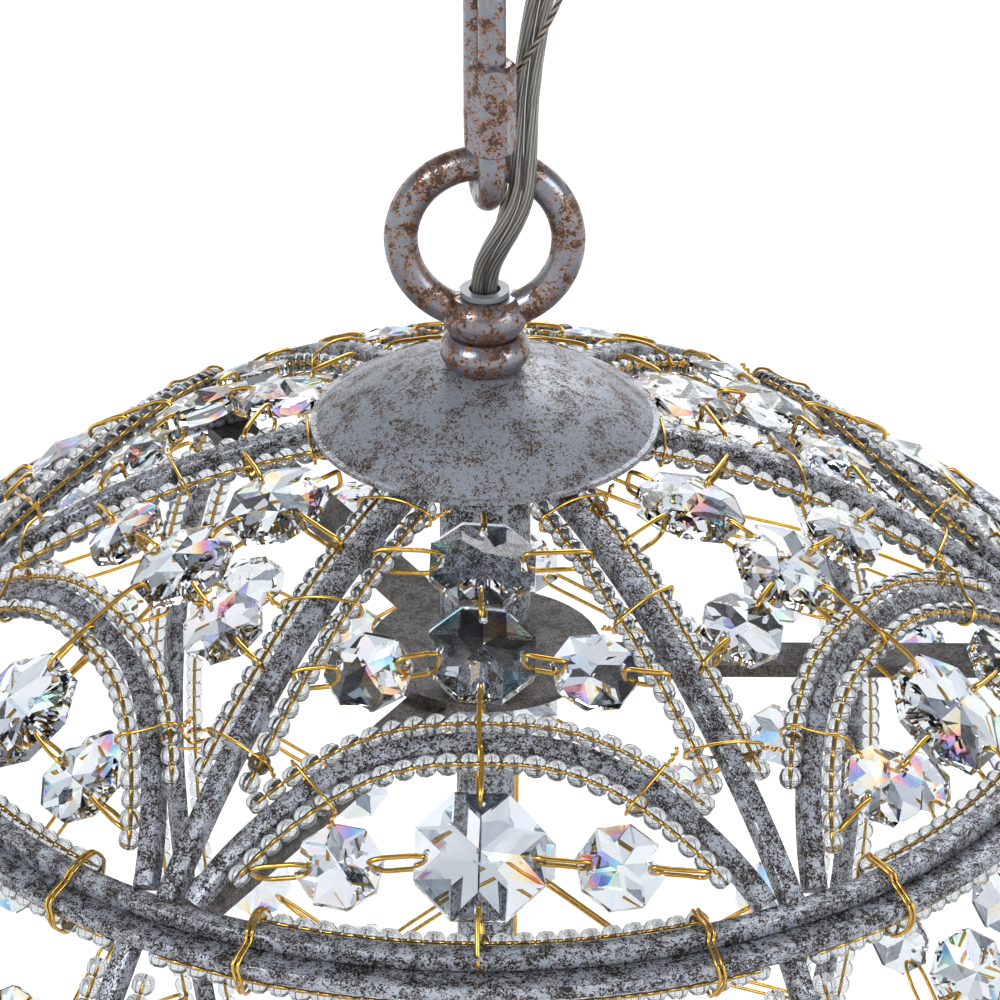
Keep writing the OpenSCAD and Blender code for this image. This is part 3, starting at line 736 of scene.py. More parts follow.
@dataclass(frozen=True)
class CutCrystal:
    """Lead crystal, machine cut and polished, with the play of light in its facets painted on.

    Each front facet is painted clear, grey, dark or crossed by a band of the spectrum, by its own number
    and its stone's: the grey and dark tones are painted reflections of dim and dark places seen through the
    glass, the bands are painted fire where real crystal splits light into colours, and the pale blue-grey
    of the clear and back tones is painted shade.
    """

    name: str
    # clear and back are pale tints of painted shade; grey and dark are painted reflections of dim and dark
    # places seen through the glass
    clear: str
    grey: str
    dark: str
    back: str
    band_mm: float
    ior: float = 1.54

    def build(self) -> bpy.types.Material:
        """Make the material."""
        look = Look(self.name)
        facet = look.add("ShaderNodeAttribute", attribute_name="facet")
        stone = look.add("ShaderNodeAttribute", attribute_name="stone")
        number = look.add("ShaderNodeMath",
                          {0: stone.outputs["Fac"], 1: 37.0, 2: facet.outputs["Fac"]},
                          operation="MULTIPLY_ADD")
        chance = look.add("ShaderNodeTexWhiteNoise", {"W": number.outputs[0]},
                          noise_dimensions="1D")
        mm = look.millimetres()
        swirl = look.add("ShaderNodeTexNoise", {
            "Vector": mm, "Scale": 0.5 / self.band_mm, "Detail": 1.0})
        lean = look.add("ShaderNodeVectorMath", {0: chance.outputs["Color"], 1: (0.5, 0.5, 0.5)},
                        operation="SUBTRACT")
        across = look.add("ShaderNodeVectorMath", {0: mm, 1: lean.outputs[0]},
                          operation="DOT_PRODUCT")
        bent = look.add("ShaderNodeMath",
                        {0: swirl.outputs["Fac"], 1: 1.2, 2: chance.outputs["Value"]},
                        operation="MULTIPLY_ADD")
        run = look.add("ShaderNodeMath",
                       {0: across.outputs["Value"], 1: 1 / self.band_mm, 2: bent.outputs[0]},
                       operation="MULTIPLY_ADD")
        turn = look.add("ShaderNodeMath", {0: run.outputs[0]}, operation="FRACT")
        # Painted reflections: the grey and dark facet tones stand in for dim and dark places seen through
        # the glass; the pale clear tone is painted shade
        clear, grey, dark = colour(self.clear), colour(self.grey), colour(self.dark)
        # Painted fire: bands of the spectrum stand in for light split into colours by the cut
        painted_fire = look.add("ShaderNodeValToRGB", {"Fac": turn.outputs[0]}, stops=[
            (0.0, clear), (0.16, colour("#FFE08A")), (0.24, colour("#FF8A2A")),
            (0.31, colour("#E03A4E")), (0.39, colour("#6A4AD0")), (0.47, colour("#1548B0")),
            (0.58, colour("#22A6E8")), (0.68, colour("#8FE8D8")), (0.8, colour("#DCEFC4")), (1.0, clear)])
        kind = look.add("ShaderNodeValToRGB", {"Fac": chance.outputs["Value"]}, stops=[
            (0.0, dark), (0.1, grey), (0.3, clear)])
        kind.color_ramp.interpolation = "CONSTANT"
        lit = look.add("ShaderNodeValToRGB", {"Fac": chance.outputs["Value"]}, stops=[
            (0.0, colour("#000000")), (0.5, colour("#707070")), (0.74, colour("#F4F4F4"))])
        lit.color_ramp.interpolation = "CONSTANT"
        painted_facet_light = look.add("ShaderNodeMix", {
            "Factor": lit.outputs[0], 6: kind.outputs[0], 7: painted_fire.outputs[0]}, data_type="RGBA")
        # Back facets take the pale back tone, a painted shade
        front = look.add("ShaderNodeMath", {0: facet.outputs["Fac"], 1: 0.05},
                         operation="GREATER_THAN")
        tinted = look.add("ShaderNodeMix", {
            "Factor": front.outputs[0], 6: colour(self.back), 7: painted_facet_light.outputs[2]}, data_type="RGBA")
        return look.close({
            "Base Color": tinted.outputs[2], "Roughness": 0.0, "Transmission Weight": 1.0,
            "IOR": self.ior})


@dataclass(frozen=True)
class StrandedWire:
    """A lay of fine wires, drawn as helical stripes round the wire's own map, dark in painted shade between
    strands.
    """

    name: str
    light: str
    dark: str
    turns_per_m: float
    wires: int
    roughness: float

    def build(self) -> bpy.types.Material:
        """Make the material."""
        look = Look(self.name)
        place = look.add("ShaderNodeUVMap", uv_map="lay")
        parts = look.add("ShaderNodeSeparateXYZ", {0: place.outputs[0]})
        along = look.add("ShaderNodeMath",
                         {0: parts.outputs[1], 1: self.turns_per_m, 2: parts.outputs[0]},
                         operation="MULTIPLY_ADD")
        wave = look.add("ShaderNodeMath", {0: along.outputs[0], 1: 2 * pi * self.wires},
                        operation="MULTIPLY")
        height = look.add("ShaderNodeMath", {0: wave.outputs[0]}, operation="SINE")
        level = look.add("ShaderNodeMapRange", {
            "Value": height.outputs[0], "From Min": -1.0, "From Max": 1.0})
        # Painted shade: the dark colour fills the grooves between the strands
        tint = look.add("ShaderNodeMix", {
            "Factor": level.outputs[0], 6: colour(self.dark), 7: colour(self.light)}, data_type="RGBA")
        bump = look.add("ShaderNodeBump", {
            "Height": level.outputs[0], "Strength": 0.6, "Distance": 0.1 * MM})
        return look.close({
            "Base Color": tint.outputs[2], "Roughness": self.roughness, "Metallic": 0.9,
            "Normal": bump.outputs[0]})


@dataclass(frozen=True)
class Finishes:
    """Every finish of the chandelier, made once."""

    # Silver paint on turned steel: satin, with large rusty blotches
    hardware: bpy.types.Material
    # The same paint on the spun cap: blue-grey and duller, with many short brown scratches
    cap: bpy.types.Material
    # The same paint on the frame's bars: a dense dark brown crackle
    bars: bpy.types.Material
    # Dark brown paint with a fine grain, on the disc and the spokes
    iron: bpy.types.Material
    # Zinc-plated steel of the crossbar, the locknut and the nipple
    zinc: bpy.types.Material
    # Gold-coloured craft wire
    gold: bpy.types.Material
    # Clear soft PVC of the twin cord
    pvc: bpy.types.Material
    # Tinned copper strands in the cord, with painted shade between them
    strands: bpy.types.Material
    # Dulled copper earth wire, with painted shade between its strands
    earth: bpy.types.Material
    # Dark grey plastic cord bushes
    bush: bpy.types.Material
    # White thermoset lamp holders
    holder: bpy.types.Material
    # Ivory card candle sleeves
    ivory: bpy.types.Material
    # Clear lead crystal, cut and polished, with painted reflections, painted fire and painted shade in its
    # facets
    crystal: bpy.types.Material
    # Clear pressed glass seed beads, tinted grey as painted shade
    bead: bpy.types.Material
    # Thin blown lamp glass
    lamp: bpy.types.Material
    # Nickelled brass screw bases
    brass: bpy.types.Material
    # Yellow phosphor on the filaments
    phosphor: bpy.types.Material


def make_finishes() -> Finishes:
    """Build every material.

    Returns:
        The finishes.
    """
    return Finishes(
        hardware=SpongedPaint("silver_paint_rubbed_hardware", "#868A93", "#6E727B", "#352010", "#A0601F",
                              3.4, 0.9, 0.5, 0.36, 0.3, 0.27, 0.75, coat=0.2).build(),
        cap=SpongedPaint("silver_paint_scratched_cap", "#949BA5", "#868D96", "#33231A", "#6E5443",
                         5.0, 0.6, 0.3, 0.27, 0.3, 0.45, 0.35).build(),
        bars=SpongedPaint("silver_paint_crackled_bars", "#B4BCC8", "#969DA8", "#140C08", "#5A3D28",
                          3.0, 0.6, 0.3, 0.42, 0.55, 0.4, 0.45, coat=0.05).build(),
        iron=SpongedPaint("dark_antique_paint", "#6A6663", "#524E4A", "#2B2521", "#443B34",
                          4.0, 0.5, 0.25, 0.45, 0.4, 0.5, 0.3).build(),
        zinc=PlainMetal("zinc_plated_steel", "#D8DADC", "#B4B7BA", 1.5, 0.3).build(),
        gold=PlainMetal("gold_craft_wire", "#E8BE62", "#B0802C", 1.2, 0.22).build(),
        pvc=ClearGlass("clear_pvc_sheath", "#DAD9D7", 2.0, 0.12, 1.4).build(),
        # Both stranded wires: their dark stripes are painted shade in the grooves between strands
        strands=StrandedWire("tinned_strands_painted_shade", "#D2CFCA", "#716E6A", 14.0, 9, 0.4).build(),
        earth=StrandedWire("dulled_earth_wire_painted_shade", "#A49B8D", "#2A2622", 160.0, 3, 0.4).build(),
        bush=PlainPlastic("dark_grey_bush", "#7E858B", "#5F666C", 3.0, 0.35).build(),
        holder=PlainPlastic("white_lamp_holder", "#F2EFE6", "#E4E0D4", 6.0, 0.45).build(),
        ivory=PlainPlastic("ivory_candle_sleeve", "#F3EBD3", "#E6DBBE", 9.0, 0.5).build(),
        # Crystal: the clear and back tints are painted shade, the grey and dark facet tones painted
        # reflections, and the spectrum bands in the material painted fire
        crystal=CutCrystal("cut_crystal_painted_light", "#DCE2EA", "#9DA5B0", "#424A56", "#E6E9EE",
                           8.0, 1.4).build(),
        # The bead glass is tinted grey as painted shade, for the dim room seen through the clear beads
        bead=ClearGlass("seed_bead_glass_painted_shade", "#D6DADE", 2.5, 0.02).build(),
        lamp=ClearGlass("blown_lamp_glass", "#FAFAF6", 12.0, 0.0, 1.45).build(),
        brass=PlainMetal("nickelled_brass_screw", "#E2D9BF", "#B9AC88", 1.5, 0.25).build(),
        phosphor=PlainPlastic("yellow_phosphor_filament", "#F6D26A", "#E2B743", 2.0, 0.5).build(),
    )


# --- Camera, light and floor ---

# Name, place, side and watts of each soft light
STUDIO_LIGHTS = [
    ("key", (-1.3, -1.2, 1.1), 0.9, 26.0),
    ("fill", (1.5, -0.9, 0.6), 0.9, 14.0),
    ("back", (0.3, 1.7, 1.0), 1.2, 24.0),
]


@dataclass
class Studio:
    """The pale sweep, the soft lights and the camera."""

    rim_z: float
    camera_height: float = 390.1 * MM
    camera_distance: float = 743.4 * MM
    camera_lens: float = 175.5
    camera_down: float = 28.6
    camera_azimuth: float = 0.6
    camera_turn: float = 0.4
    floor_z: float = -1.9
    flat_r: float = 4.0
    rise_r: float = 1.4

    def place_camera(self) -> None:
        """Set the camera at the viewing angle."""
        data = bpy.data.cameras.new("camera")
        data.lens = self.camera_lens
        data.clip_start = 0.05
        data.clip_end = 50.0
        camera = bpy.data.objects.new("camera", data)
        bpy.context.scene.collection.objects.link(camera)
        azimuth = radians(self.camera_azimuth)
        camera.location = (self.camera_distance * sin(azimuth), -self.camera_distance * cos(azimuth),
                           self.rim_z + self.camera_height)
        camera.rotation_euler = (radians(90 - self.camera_down), 0.0, radians(self.camera_turn))
        bpy.context.scene.camera = camera

    def lay_floor(self) -> None:
        """Lay a round pale floor whose edge sweeps up into a wall."""
        profile = [(0.0, 0.0), (self.flat_r, 0.0)]
        profile += arc((self.flat_r, self.rise_r), self.rise_r, -80, 0, 8)
        profile.append((self.flat_r + self.rise_r, 2.2 * self.rise_r))
        points, faces = [], []
        segments = 64
        for s in range(segments):
            turn = 2 * pi * s / segments
            points += [Vector((r * cos(turn), r * sin(turn), z + self.floor_z)) for r, z in profile]
        for s in range(segments):
            here, there = s * len(profile), (s + 1) % segments * len(profile)
            faces += [[here + k, there + k, there + k + 1, here + k + 1] for k in range(len(profile) - 1)]
        floor = new_object("floor", mesh_from("floor", points, faces))
        material = bpy.data.materials.new("white_paper_sweep")
        material.use_nodes = True
        shader = material.node_tree.nodes["Principled BSDF"]
        shader.inputs["Base Color"].default_value = colour("#F4F4F3")
        shader.inputs["Roughness"].default_value = 0.9
        shader.inputs["Emission Color"].default_value = colour("#FFFFFF")
        shader.inputs["Emission Strength"].default_value = 0.44
        floor.data.materials.append(material)

    def add_light(self, name: str, place: tuple[float, float, float], size: float, power: float) -> None:
        """Hang a square soft light that faces the globe.

        Args:
            name: the light's name.
            place: where it hangs.
            size: its side.
            power: its power in watts.
        """
        data = bpy.data.lights.new(name, "AREA")
        data.size = size
        data.energy = power
        light = bpy.data.objects.new(name, data)
        bpy.context.scene.collection.objects.link(light)
        light.location = place
        target = Vector((0.0, 0.0, self.rim_z - 50 * MM))
        light.rotation_euler = (target - Vector(place)).to_track_quat("-Z", "Y").to_euler()

    def light(self) -> None:
        """Add the lights and the dim room round the sweep."""
        for name, place, size, power in STUDIO_LIGHTS:
            self.add_light(name, place, size, power)
        world = bpy.data.worlds.new("room")
        world.use_nodes = True
        world.node_tree.nodes["Background"].inputs["Color"].default_value = colour("#C9CBCF")
        world.node_tree.nodes["Background"].inputs["Strength"].default_value = 0.55
        bpy.context.scene.world = world
        bpy.context.scene.view_settings.view_transform = "Standard"

    def build(self) -> None:
        """Set up the studio."""
        self.place_camera()
        self.lay_floor()
        self.light()


# --- Suspension: canopy, link, eye loop and cords ---


@dataclass(frozen=True)
class CordRun:
    """One free stretch of a cord between two bodies."""

    name: str
    route_mm: list[tuple[float, float, float]]
    width: float
    lower_body: Body
    upper_body: Body
    slot: Slot


# The upper stretches start where the lower ones end; their solids stop 0.4 mm short of that
CORD_LOWER = CordRun("cord_lower", [
    (0, -0.7, -115), (0, -0.7, -110), (0.6, -1.8, -106), (2, -3.4, -102), (3.8, -4.6, -98),
    (5.4, -5.2, -94), (6.3, -5.3, -90), (6.5, -4.9, -86), (6.6, -4.4, -81), (6.8, -3.8, -75),
], 4.6 * MM, Body.FIXTURE, Body.LINK, Slot.CORD)
CORD_UPPER = CordRun("cord_upper", [
    (6.8, -3.8, -75), (7.4, -3.4, -69), (8.2, -3.2, -63), (9.2, -3.2, -57), (10.8, -3.6, -51),
    (13, -3.4, -45), (15.2, -2.4, -39), (17, -0.8, -33), (17.9, 0.4, -29), (18, 0.7, -25), (18, 0.7, -20),
], 4.6 * MM, Body.LINK, Body.CEILING, Slot.CORD)
EARTH_LOWER = CordRun("earth_wire_lower", [
    (0, 1.7, -115), (0, 1.8, -110), (0.8, 2.8, -106), (2, 3.8, -102), (3, 4.3, -98),
    (3.4, 4.3, -93), (3.4, 4.1, -88), (3, 3, -84), (2.8, 0.6, -80), (3, -2, -76),
], 1.0 * MM, Body.FIXTURE, Body.LINK, Slot.EARTH)
EARTH_UPPER = CordRun("earth_wire_upper", [
    (3, -2, -76), (4, -4.6, -71.5), (6.2, -6.2, -67.5), (8.8, -6.6, -63), (11.4, -6.6, -58),
    (13.6, -6.6, -52), (15.6, -6.2, -45), (17.2, -5, -38), (18, -3, -32), (18, -1.8, -27), (18, -1.7, -20),
], 1.0 * MM, Body.LINK, Body.CEILING, Slot.EARTH)


@dataclass
class Suspension:
    """Ceiling part, screw link, eye loop and the cords between them."""

    finishes: Finishes
    sheath_half: tuple[float, float] = (2.3 * MM, 1.25 * MM)
    waist: float = 0.3
    bundle_r: float = 0.93 * MM
    bundle_off: float = 0.98 * MM
    earth_r: float = 0.5 * MM

    def sheath_section(self, sides: int) -> Outline:
        """Outline of the twin flex: an oval with a waist between its two cores."""
        section = []
        for k in range(sides):
            turn = 2 * pi * k / sides
            pinch = 1 - self.waist * (1 - abs(cos(turn))) ** 2
            section.append((self.sheath_half[0] * cos(turn), self.sheath_half[1] * sin(turn) * pinch))
        return section

    @staticmethod
    def round_section(radius: float, off: float, sides: int) -> Outline:
        """Outline of a round core, moved sideways."""
        return [(off + radius * cos(2 * pi * k / sides), radius * sin(2 * pi * k / sides))
                for k in range(sides)]

    @staticmethod
    def sweep(shape: bmesh.types.BMesh, path: list[Vector], section: Outline, slot: int,
              ends: tuple[bool, bool] = (True, True)) -> None:
        """Run an outline along a path as a tube with its own map.

        Args:
            shape: the mesh to add it to.
            path: the tube's middle line.
            section: the outline's points, across and towards the front.
            slot: its material slot.
            ends: close its first and last end; a clear cord runs on through its joint with no wall.
        """
        lay = shape.loops.layers.uv.get("lay") or shape.loops.layers.uv.new("lay")
        rings = []
        length = 0.0
        lengths = []
        for i, here in enumerate(path):
            length += (here - path[i - 1]).length if i else 0.0
            lengths.append(length)
            along = (path[min(i + 1, len(path) - 1)] - path[max(i - 1, 0)]).normalized()
            across = along.cross(Vector((0.0, -1.0, 0.0))).normalized()
            front = across.cross(along)
            rings.append([shape.verts.new(here + across * x + front * y) for x, y in section])
        count = len(section)
        for i in range(len(path) - 1):
            for k in range(count):
                ahead = (k + 1) % count
                face = shape.faces.new([rings[i][k], rings[i][ahead], rings[i + 1][ahead], rings[i + 1][k]])
                corners = [(k, i), (k + 1, i), (k + 1, i + 1), (k, i + 1)]
                for loop, (u, v) in zip(face.loops, corners):
                    loop[lay].uv = (u / count, lengths[v])
                face.material_index = slot
                face.smooth = True
        for ring, closed in zip((rings[0], rings[-1]), ends):
            if closed:
                shape.faces.new(ring).material_index = slot

    def run_cord(self, cord: CordRun) -> None:
        route = [Vector(p) * MM for p in cord.route_mm]
        path = smooth_route(route, 5)
        shape = bmesh.new()
        if cord.slot is Slot.CORD:
            materials = [self.finishes.pvc, self.finishes.strands]
            ends = (cord.lower_body is Body.FIXTURE, cord.upper_body is Body.CEILING)
            self.sweep(shape, path, self.sheath_section(24), 0, ends)
            for off in (-self.bundle_off, self.bundle_off):
                self.sweep(shape, path, self.round_section(self.bundle_r, off, 12), 1, ends)
        else:
            materials = [self.finishes.earth]
            self.sweep(shape, path, self.round_section(self.earth_r, 0.0, 12), 0)
        bmesh.ops.recalc_face_normals(shape, faces=shape.faces)
        mesh = bpy.data.meshes.new(cord.name + "_piece")
        shape.to_mesh(mesh)
        shape.free()
        for material in materials:
            mesh.materials.append(material)
        piece = new_object(cord.name + "_flex", mesh)
        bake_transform(piece)
        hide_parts(cord.name)
        report(piece)

    def build(self) -> None:
        """Make the cords and dress the metal parts."""
        for cord in (CORD_LOWER, CORD_UPPER, EARTH_LOWER, EARTH_UPPER):
            self.run_cord(cord)
        f = self.finishes
        dress(f.hardware, "quick_link", "link_sleeve", "eye_loop", "loop_collar", "canopy_loop")
        dress(f.cap, "canopy", "cap")
        dress(f.zinc, "crossbar", "canopy_locknut", "hub_nipple")
        dress(f.bush, "canopy_bush", "loop_bush")


# --- Cage: bars, rings and arches ---


@dataclass
class Cage:
    """The dome frame, nested on the basket frame."""

    globe: Globe
    finishes: Finishes
    edge: float = 0.45 * MM
    bar_steps: int = 28
    arch_steps: int = 48
    arch_end: float = 13.0
    ring_sides: int = 144
    basket_ring_width: float = 9.3 * MM

    def meridian(self, azimuth: float, start: float, end: float) -> Line:
        """Path of an upright bar between two polar angles."""
        middle = self.globe.radius - self.globe.bar_depth / 2
        points = [self.globe.at(start + (end - start) * i / self.bar_steps, azimuth, middle)
                  for i in range(self.bar_steps + 1)]
        return Line(points, [self.globe.out(p) for p in points])

    def ring(self, node: str) -> tuple[Line, float, float]:
        """Path, width and height of a flat ring, from its CAD node's box."""
        low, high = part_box(node)
        width = self.basket_ring_width if node == "basket_top_ring" else self.globe.bar_depth
        r = high.x - width / 2
        z = (low.z + high.z) / 2
        points = [Vector((r * cos(2 * pi * i / self.ring_sides), r * sin(2 * pi * i / self.ring_sides), z))
                  for i in range(self.ring_sides)]
        outward = [Vector((p.x, p.y, 0.0)).normalized() for p in points]
        return Line(points, outward, closed=True), high.z - low.z, width

    def arches(self, lower: bool) -> list[Line]:
        """Paths of the six arches of one half."""
        arch = Arch(self.globe)
        lines = []
        for i in range(PANELS):
            azimuth = i * SECTOR + (BASKET_TURN if lower else 0.0)
            points = arch.path(self.globe.radius - self.globe.bar_depth / 2, azimuth, self.arch_end,
                               self.arch_steps)
            if lower:
                points = [self.globe.lower(p) for p in points]
            lines.append(Line(points, [self.globe.out(p) for p in points]))
        return lines

    def build(self) -> None:
        """Sweep every bar, ring and arch, and dress the rest."""
        tree = bar_tree()
        plain = {"Width": self.globe.bar_width, "Depth": self.globe.bar_depth, "Edge": self.edge,
                 "Finish": self.finishes.bars}
        ring_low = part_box("basket_top_ring")[0].z
        crown_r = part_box("dome_crown")[1].x + 0.3 * MM
        plate_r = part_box("basket_plate")[1].x + 0.3 * MM
        dome_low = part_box("dome_ring")[1].z
        start = degrees(asin(crown_r / self.globe.radius))
        stop = degrees(acos((dome_low - self.globe.centre.z) / self.globe.radius))
        upper = [self.meridian((i + 0.5) * SECTOR, start, stop) for i in range(PANELS)]
        settle(tree.run("dome_bar_frame", lines_mesh("bars", upper), plain), Slot.FRAME, "dome_bars")
        settle(tree.run("dome_arch_frame", lines_mesh("arches", self.arches(False)), plain), Slot.FRAME,
               *[f"dome_arch_{i}" for i in range(1, PANELS + 1)])
        from_polar = degrees(acos((ring_low - 0.5 * MM - self.globe.centre.z) / self.globe.radius))
        to_polar = 180 - degrees(asin(plate_r / self.globe.radius))
        lower = [self.meridian((i + 0.5) * SECTOR + BASKET_TURN, from_polar, to_polar)
                 for i in range(PANELS)]
        settle(tree.run("basket_bar_frame", lines_mesh("bars", lower), plain), Slot.FRAME,
               *[f"basket_bar_{i}" for i in range(1, PANELS + 1)])
        settle(tree.run("basket_arch_frame", lines_mesh("arches", self.arches(True)), plain), Slot.FRAME,
               "basket_arches")
        for node in ("dome_ring", "basket_top_ring", "basket_low_ring"):
            line, height, width = self.ring(node)
            ring = tree.run(node + "_band", lines_mesh(node, [line]),
                            {**plain, "Width": height, "Depth": width, "Edge": self.edge * 0.8})
            settle(ring, Slot.FRAME, node)
        dress(self.finishes.bars, "dome_crown", "basket_plate", "finial", "stem_tube", "lower_rod")
        dress(self.finishes.iron, "spider_disc", "spider_spokes")


# --- Bead strands ---


@dataclass
class BeadWork:
    """Seed beads threaded on wire along the bars, the arches and the rings."""

    globe: Globe
    finishes: Finishes
    bead_r: float = 1.85 * MM
    bead_half: float = 1.65 * MM
    pitch: float = 3.45 * MM
    uneven: float = 0.06
    wire_r: float = 0.25 * MM
    seed: int = 7

    def bead(self) -> bpy.types.Object:
        """Make one bead, round outside, with its hole along Z filled by the wire."""
        r, h, hole = self.bead_r, self.bead_half, 0.8 * self.wire_r
        profile = [(hole, -0.96 * h), (0.52 * r, -h), (0.88 * r, -0.62 * h), (r, 0.0),
                   (0.88 * r, 0.62 * h), (0.52 * r, h), (hole, 0.96 * h)]
        mesh = lathe("bead", profile, 10, [Matrix.Identity(4)])
        mesh.materials.append(self.finishes.bead)
        return new_object("bead_pattern", mesh)

    def beside_bar(self, azimuth: float, side: int, start: float, end: float) -> Line:
        """Strand beside an upright bar between two polar angles."""
        flat = sqrt(self.globe.strand_radius ** 2 - self.globe.strand_side ** 2)
        a = radians(azimuth)
        sideways = Vector((cos(a), sin(a), 0.0)) * side * self.globe.strand_side
        steps = max(int((end - start) / 2), 4)
        points = [self.globe.at(start + (end - start) * i / steps, azimuth, flat) + sideways
                  for i in range(steps + 1)]
        return Line(points)

    def level(self, azimuth: float, polar: float, half: float) -> Line:
        """Strand at one polar angle, across a panel."""
        steps = 16
        return Line([self.globe.at(polar, azimuth - half + 2 * half * i / steps, self.globe.strand_radius)
                     for i in range(steps + 1)])

    def panel(self, azimuth: float) -> list[Line]:
        """Strands of one arched panel: a triangle above its arch and a bow below it."""
        arch = Arch(self.globe)
        ring_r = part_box("dome_ring")[1].x - self.globe.bar_depth - self.bead_r
        bow = degrees(asin(ring_r / self.globe.strand_radius))
        lines = [self.beside_bar(azimuth + s * SECTOR / 2, -s, self.globe.polar_of(27.5 * MM),
                                 self.globe.polar_of(83 * MM)) for s in (-1, 1)]
        radius = self.globe.radius - self.globe.arch_sink
        lines.append(Line(arch.path(radius, azimuth, 40, 40, self.globe.arch_side)))
        lines.append(Line(arch.path(radius, azimuth, 26, 44, -self.globe.arch_side)))
        lines.append(self.level(azimuth, bow, 20.5))
        return lines

    def thread(self, tree: NodeBuild, bead: bpy.types.Object, name: str, lines: list[Line],
               node: str) -> None:
        """Thread the beads of one set of strands."""
        piece = tree.run(name, lines_mesh(name, lines), {
            "Bead": bead, "Pitch": self.pitch, "Uneven": self.uneven, "Wire radius": self.wire_r,
            "Wire finish": self.finishes.gold, "Seed": self.seed})
        settle(piece, Slot.BEAD, node)

    def build(self) -> None:
        """Thread every strand."""
        tree = strand_tree()
        bead = self.bead()
        upper = [line for i in range(PANELS) for line in self.panel(i * SECTOR)]
        lower = [Line([self.globe.lower(p) for p in line.points])
                 for i in range(PANELS) for line in self.panel(i * SECTOR + BASKET_TURN)]
        ring_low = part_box("basket_top_ring")[0].z - self.bead_r - 0.6 * MM
        top = degrees(acos((ring_low - self.globe.centre.z) / self.globe.strand_radius))
        sides = []
        for i in range(PANELS):
            middle = i * SECTOR + BASKET_TURN
            sides += [self.beside_bar(middle + s * SECTOR / 2, -s, top + 2, 178 - top) for s in (-1, 1)]
            sides += [self.level(middle, top, 27), self.level(middle, 180 - top, 27)]
        self.thread(tree, bead, "dome_bead_strands", upper, "dome_strands")
        self.thread(tree, bead, "basket_bead_strands", sides, "basket_strands")
        self.thread(tree, bead, "bottom_bead_strands", lower, "bottom_strands")
        bpy.data.objects.remove(bead)


# --- Crystals ---


@dataclass(frozen=True)
class Cut:
    """One size of cut octagon."""

    size: float
    holes: int

    @property
    def thickness(self) -> float:
        """From point to point through the middle."""
        return 0.36 * self.size

    @property
    def hole_at(self) -> float:
        """Distance of the holes from the middle."""
        return self.size / 2 - 2.0 * MM


LARGE = Cut(21 * MM, 4)
MEDIUM = Cut(17.5 * MM, 4)
SMALL = Cut(13.5 * MM, 2)

# Places in an arched panel: distance from the axis in millimetres and azimuth off the panel's middle
PANEL_PLACES = {
    MEDIUM: [(40.4, 0.0), (58.4, 0.0)],
    SMALL: [(62.9, -17.0), (62.9, 17.0), (91.8, -14.1), (91.8, 14.1)],
    LARGE: [(89.3, 0.0)],
}
# Azimuths of the columns of small stones in an upright panel: inner, corner and edge
INNER, CORNER, EDGE = 14.0, 22.0, 23.3
# Places in an upright panel: polar angle and azimuth off the panel's middle
SIDE_PLACES = {
    MEDIUM: [(polar, 0.0) for polar in (60.0, 75.0, 90.0, 105.0, 120.0)],
    SMALL: [(polar, side * INNER) for side in (-1, 1) for polar in (54.0, 67.0, 82.5, 97.5, 113.0, 126.0)]
    + [(polar, side * CORNER) for side in (-1, 1) for polar in (57.0, 123.0)]
    + [(polar, side * EDGE) for side in (-1, 1) for polar in (75.0, 90.0, 105.0)],
}


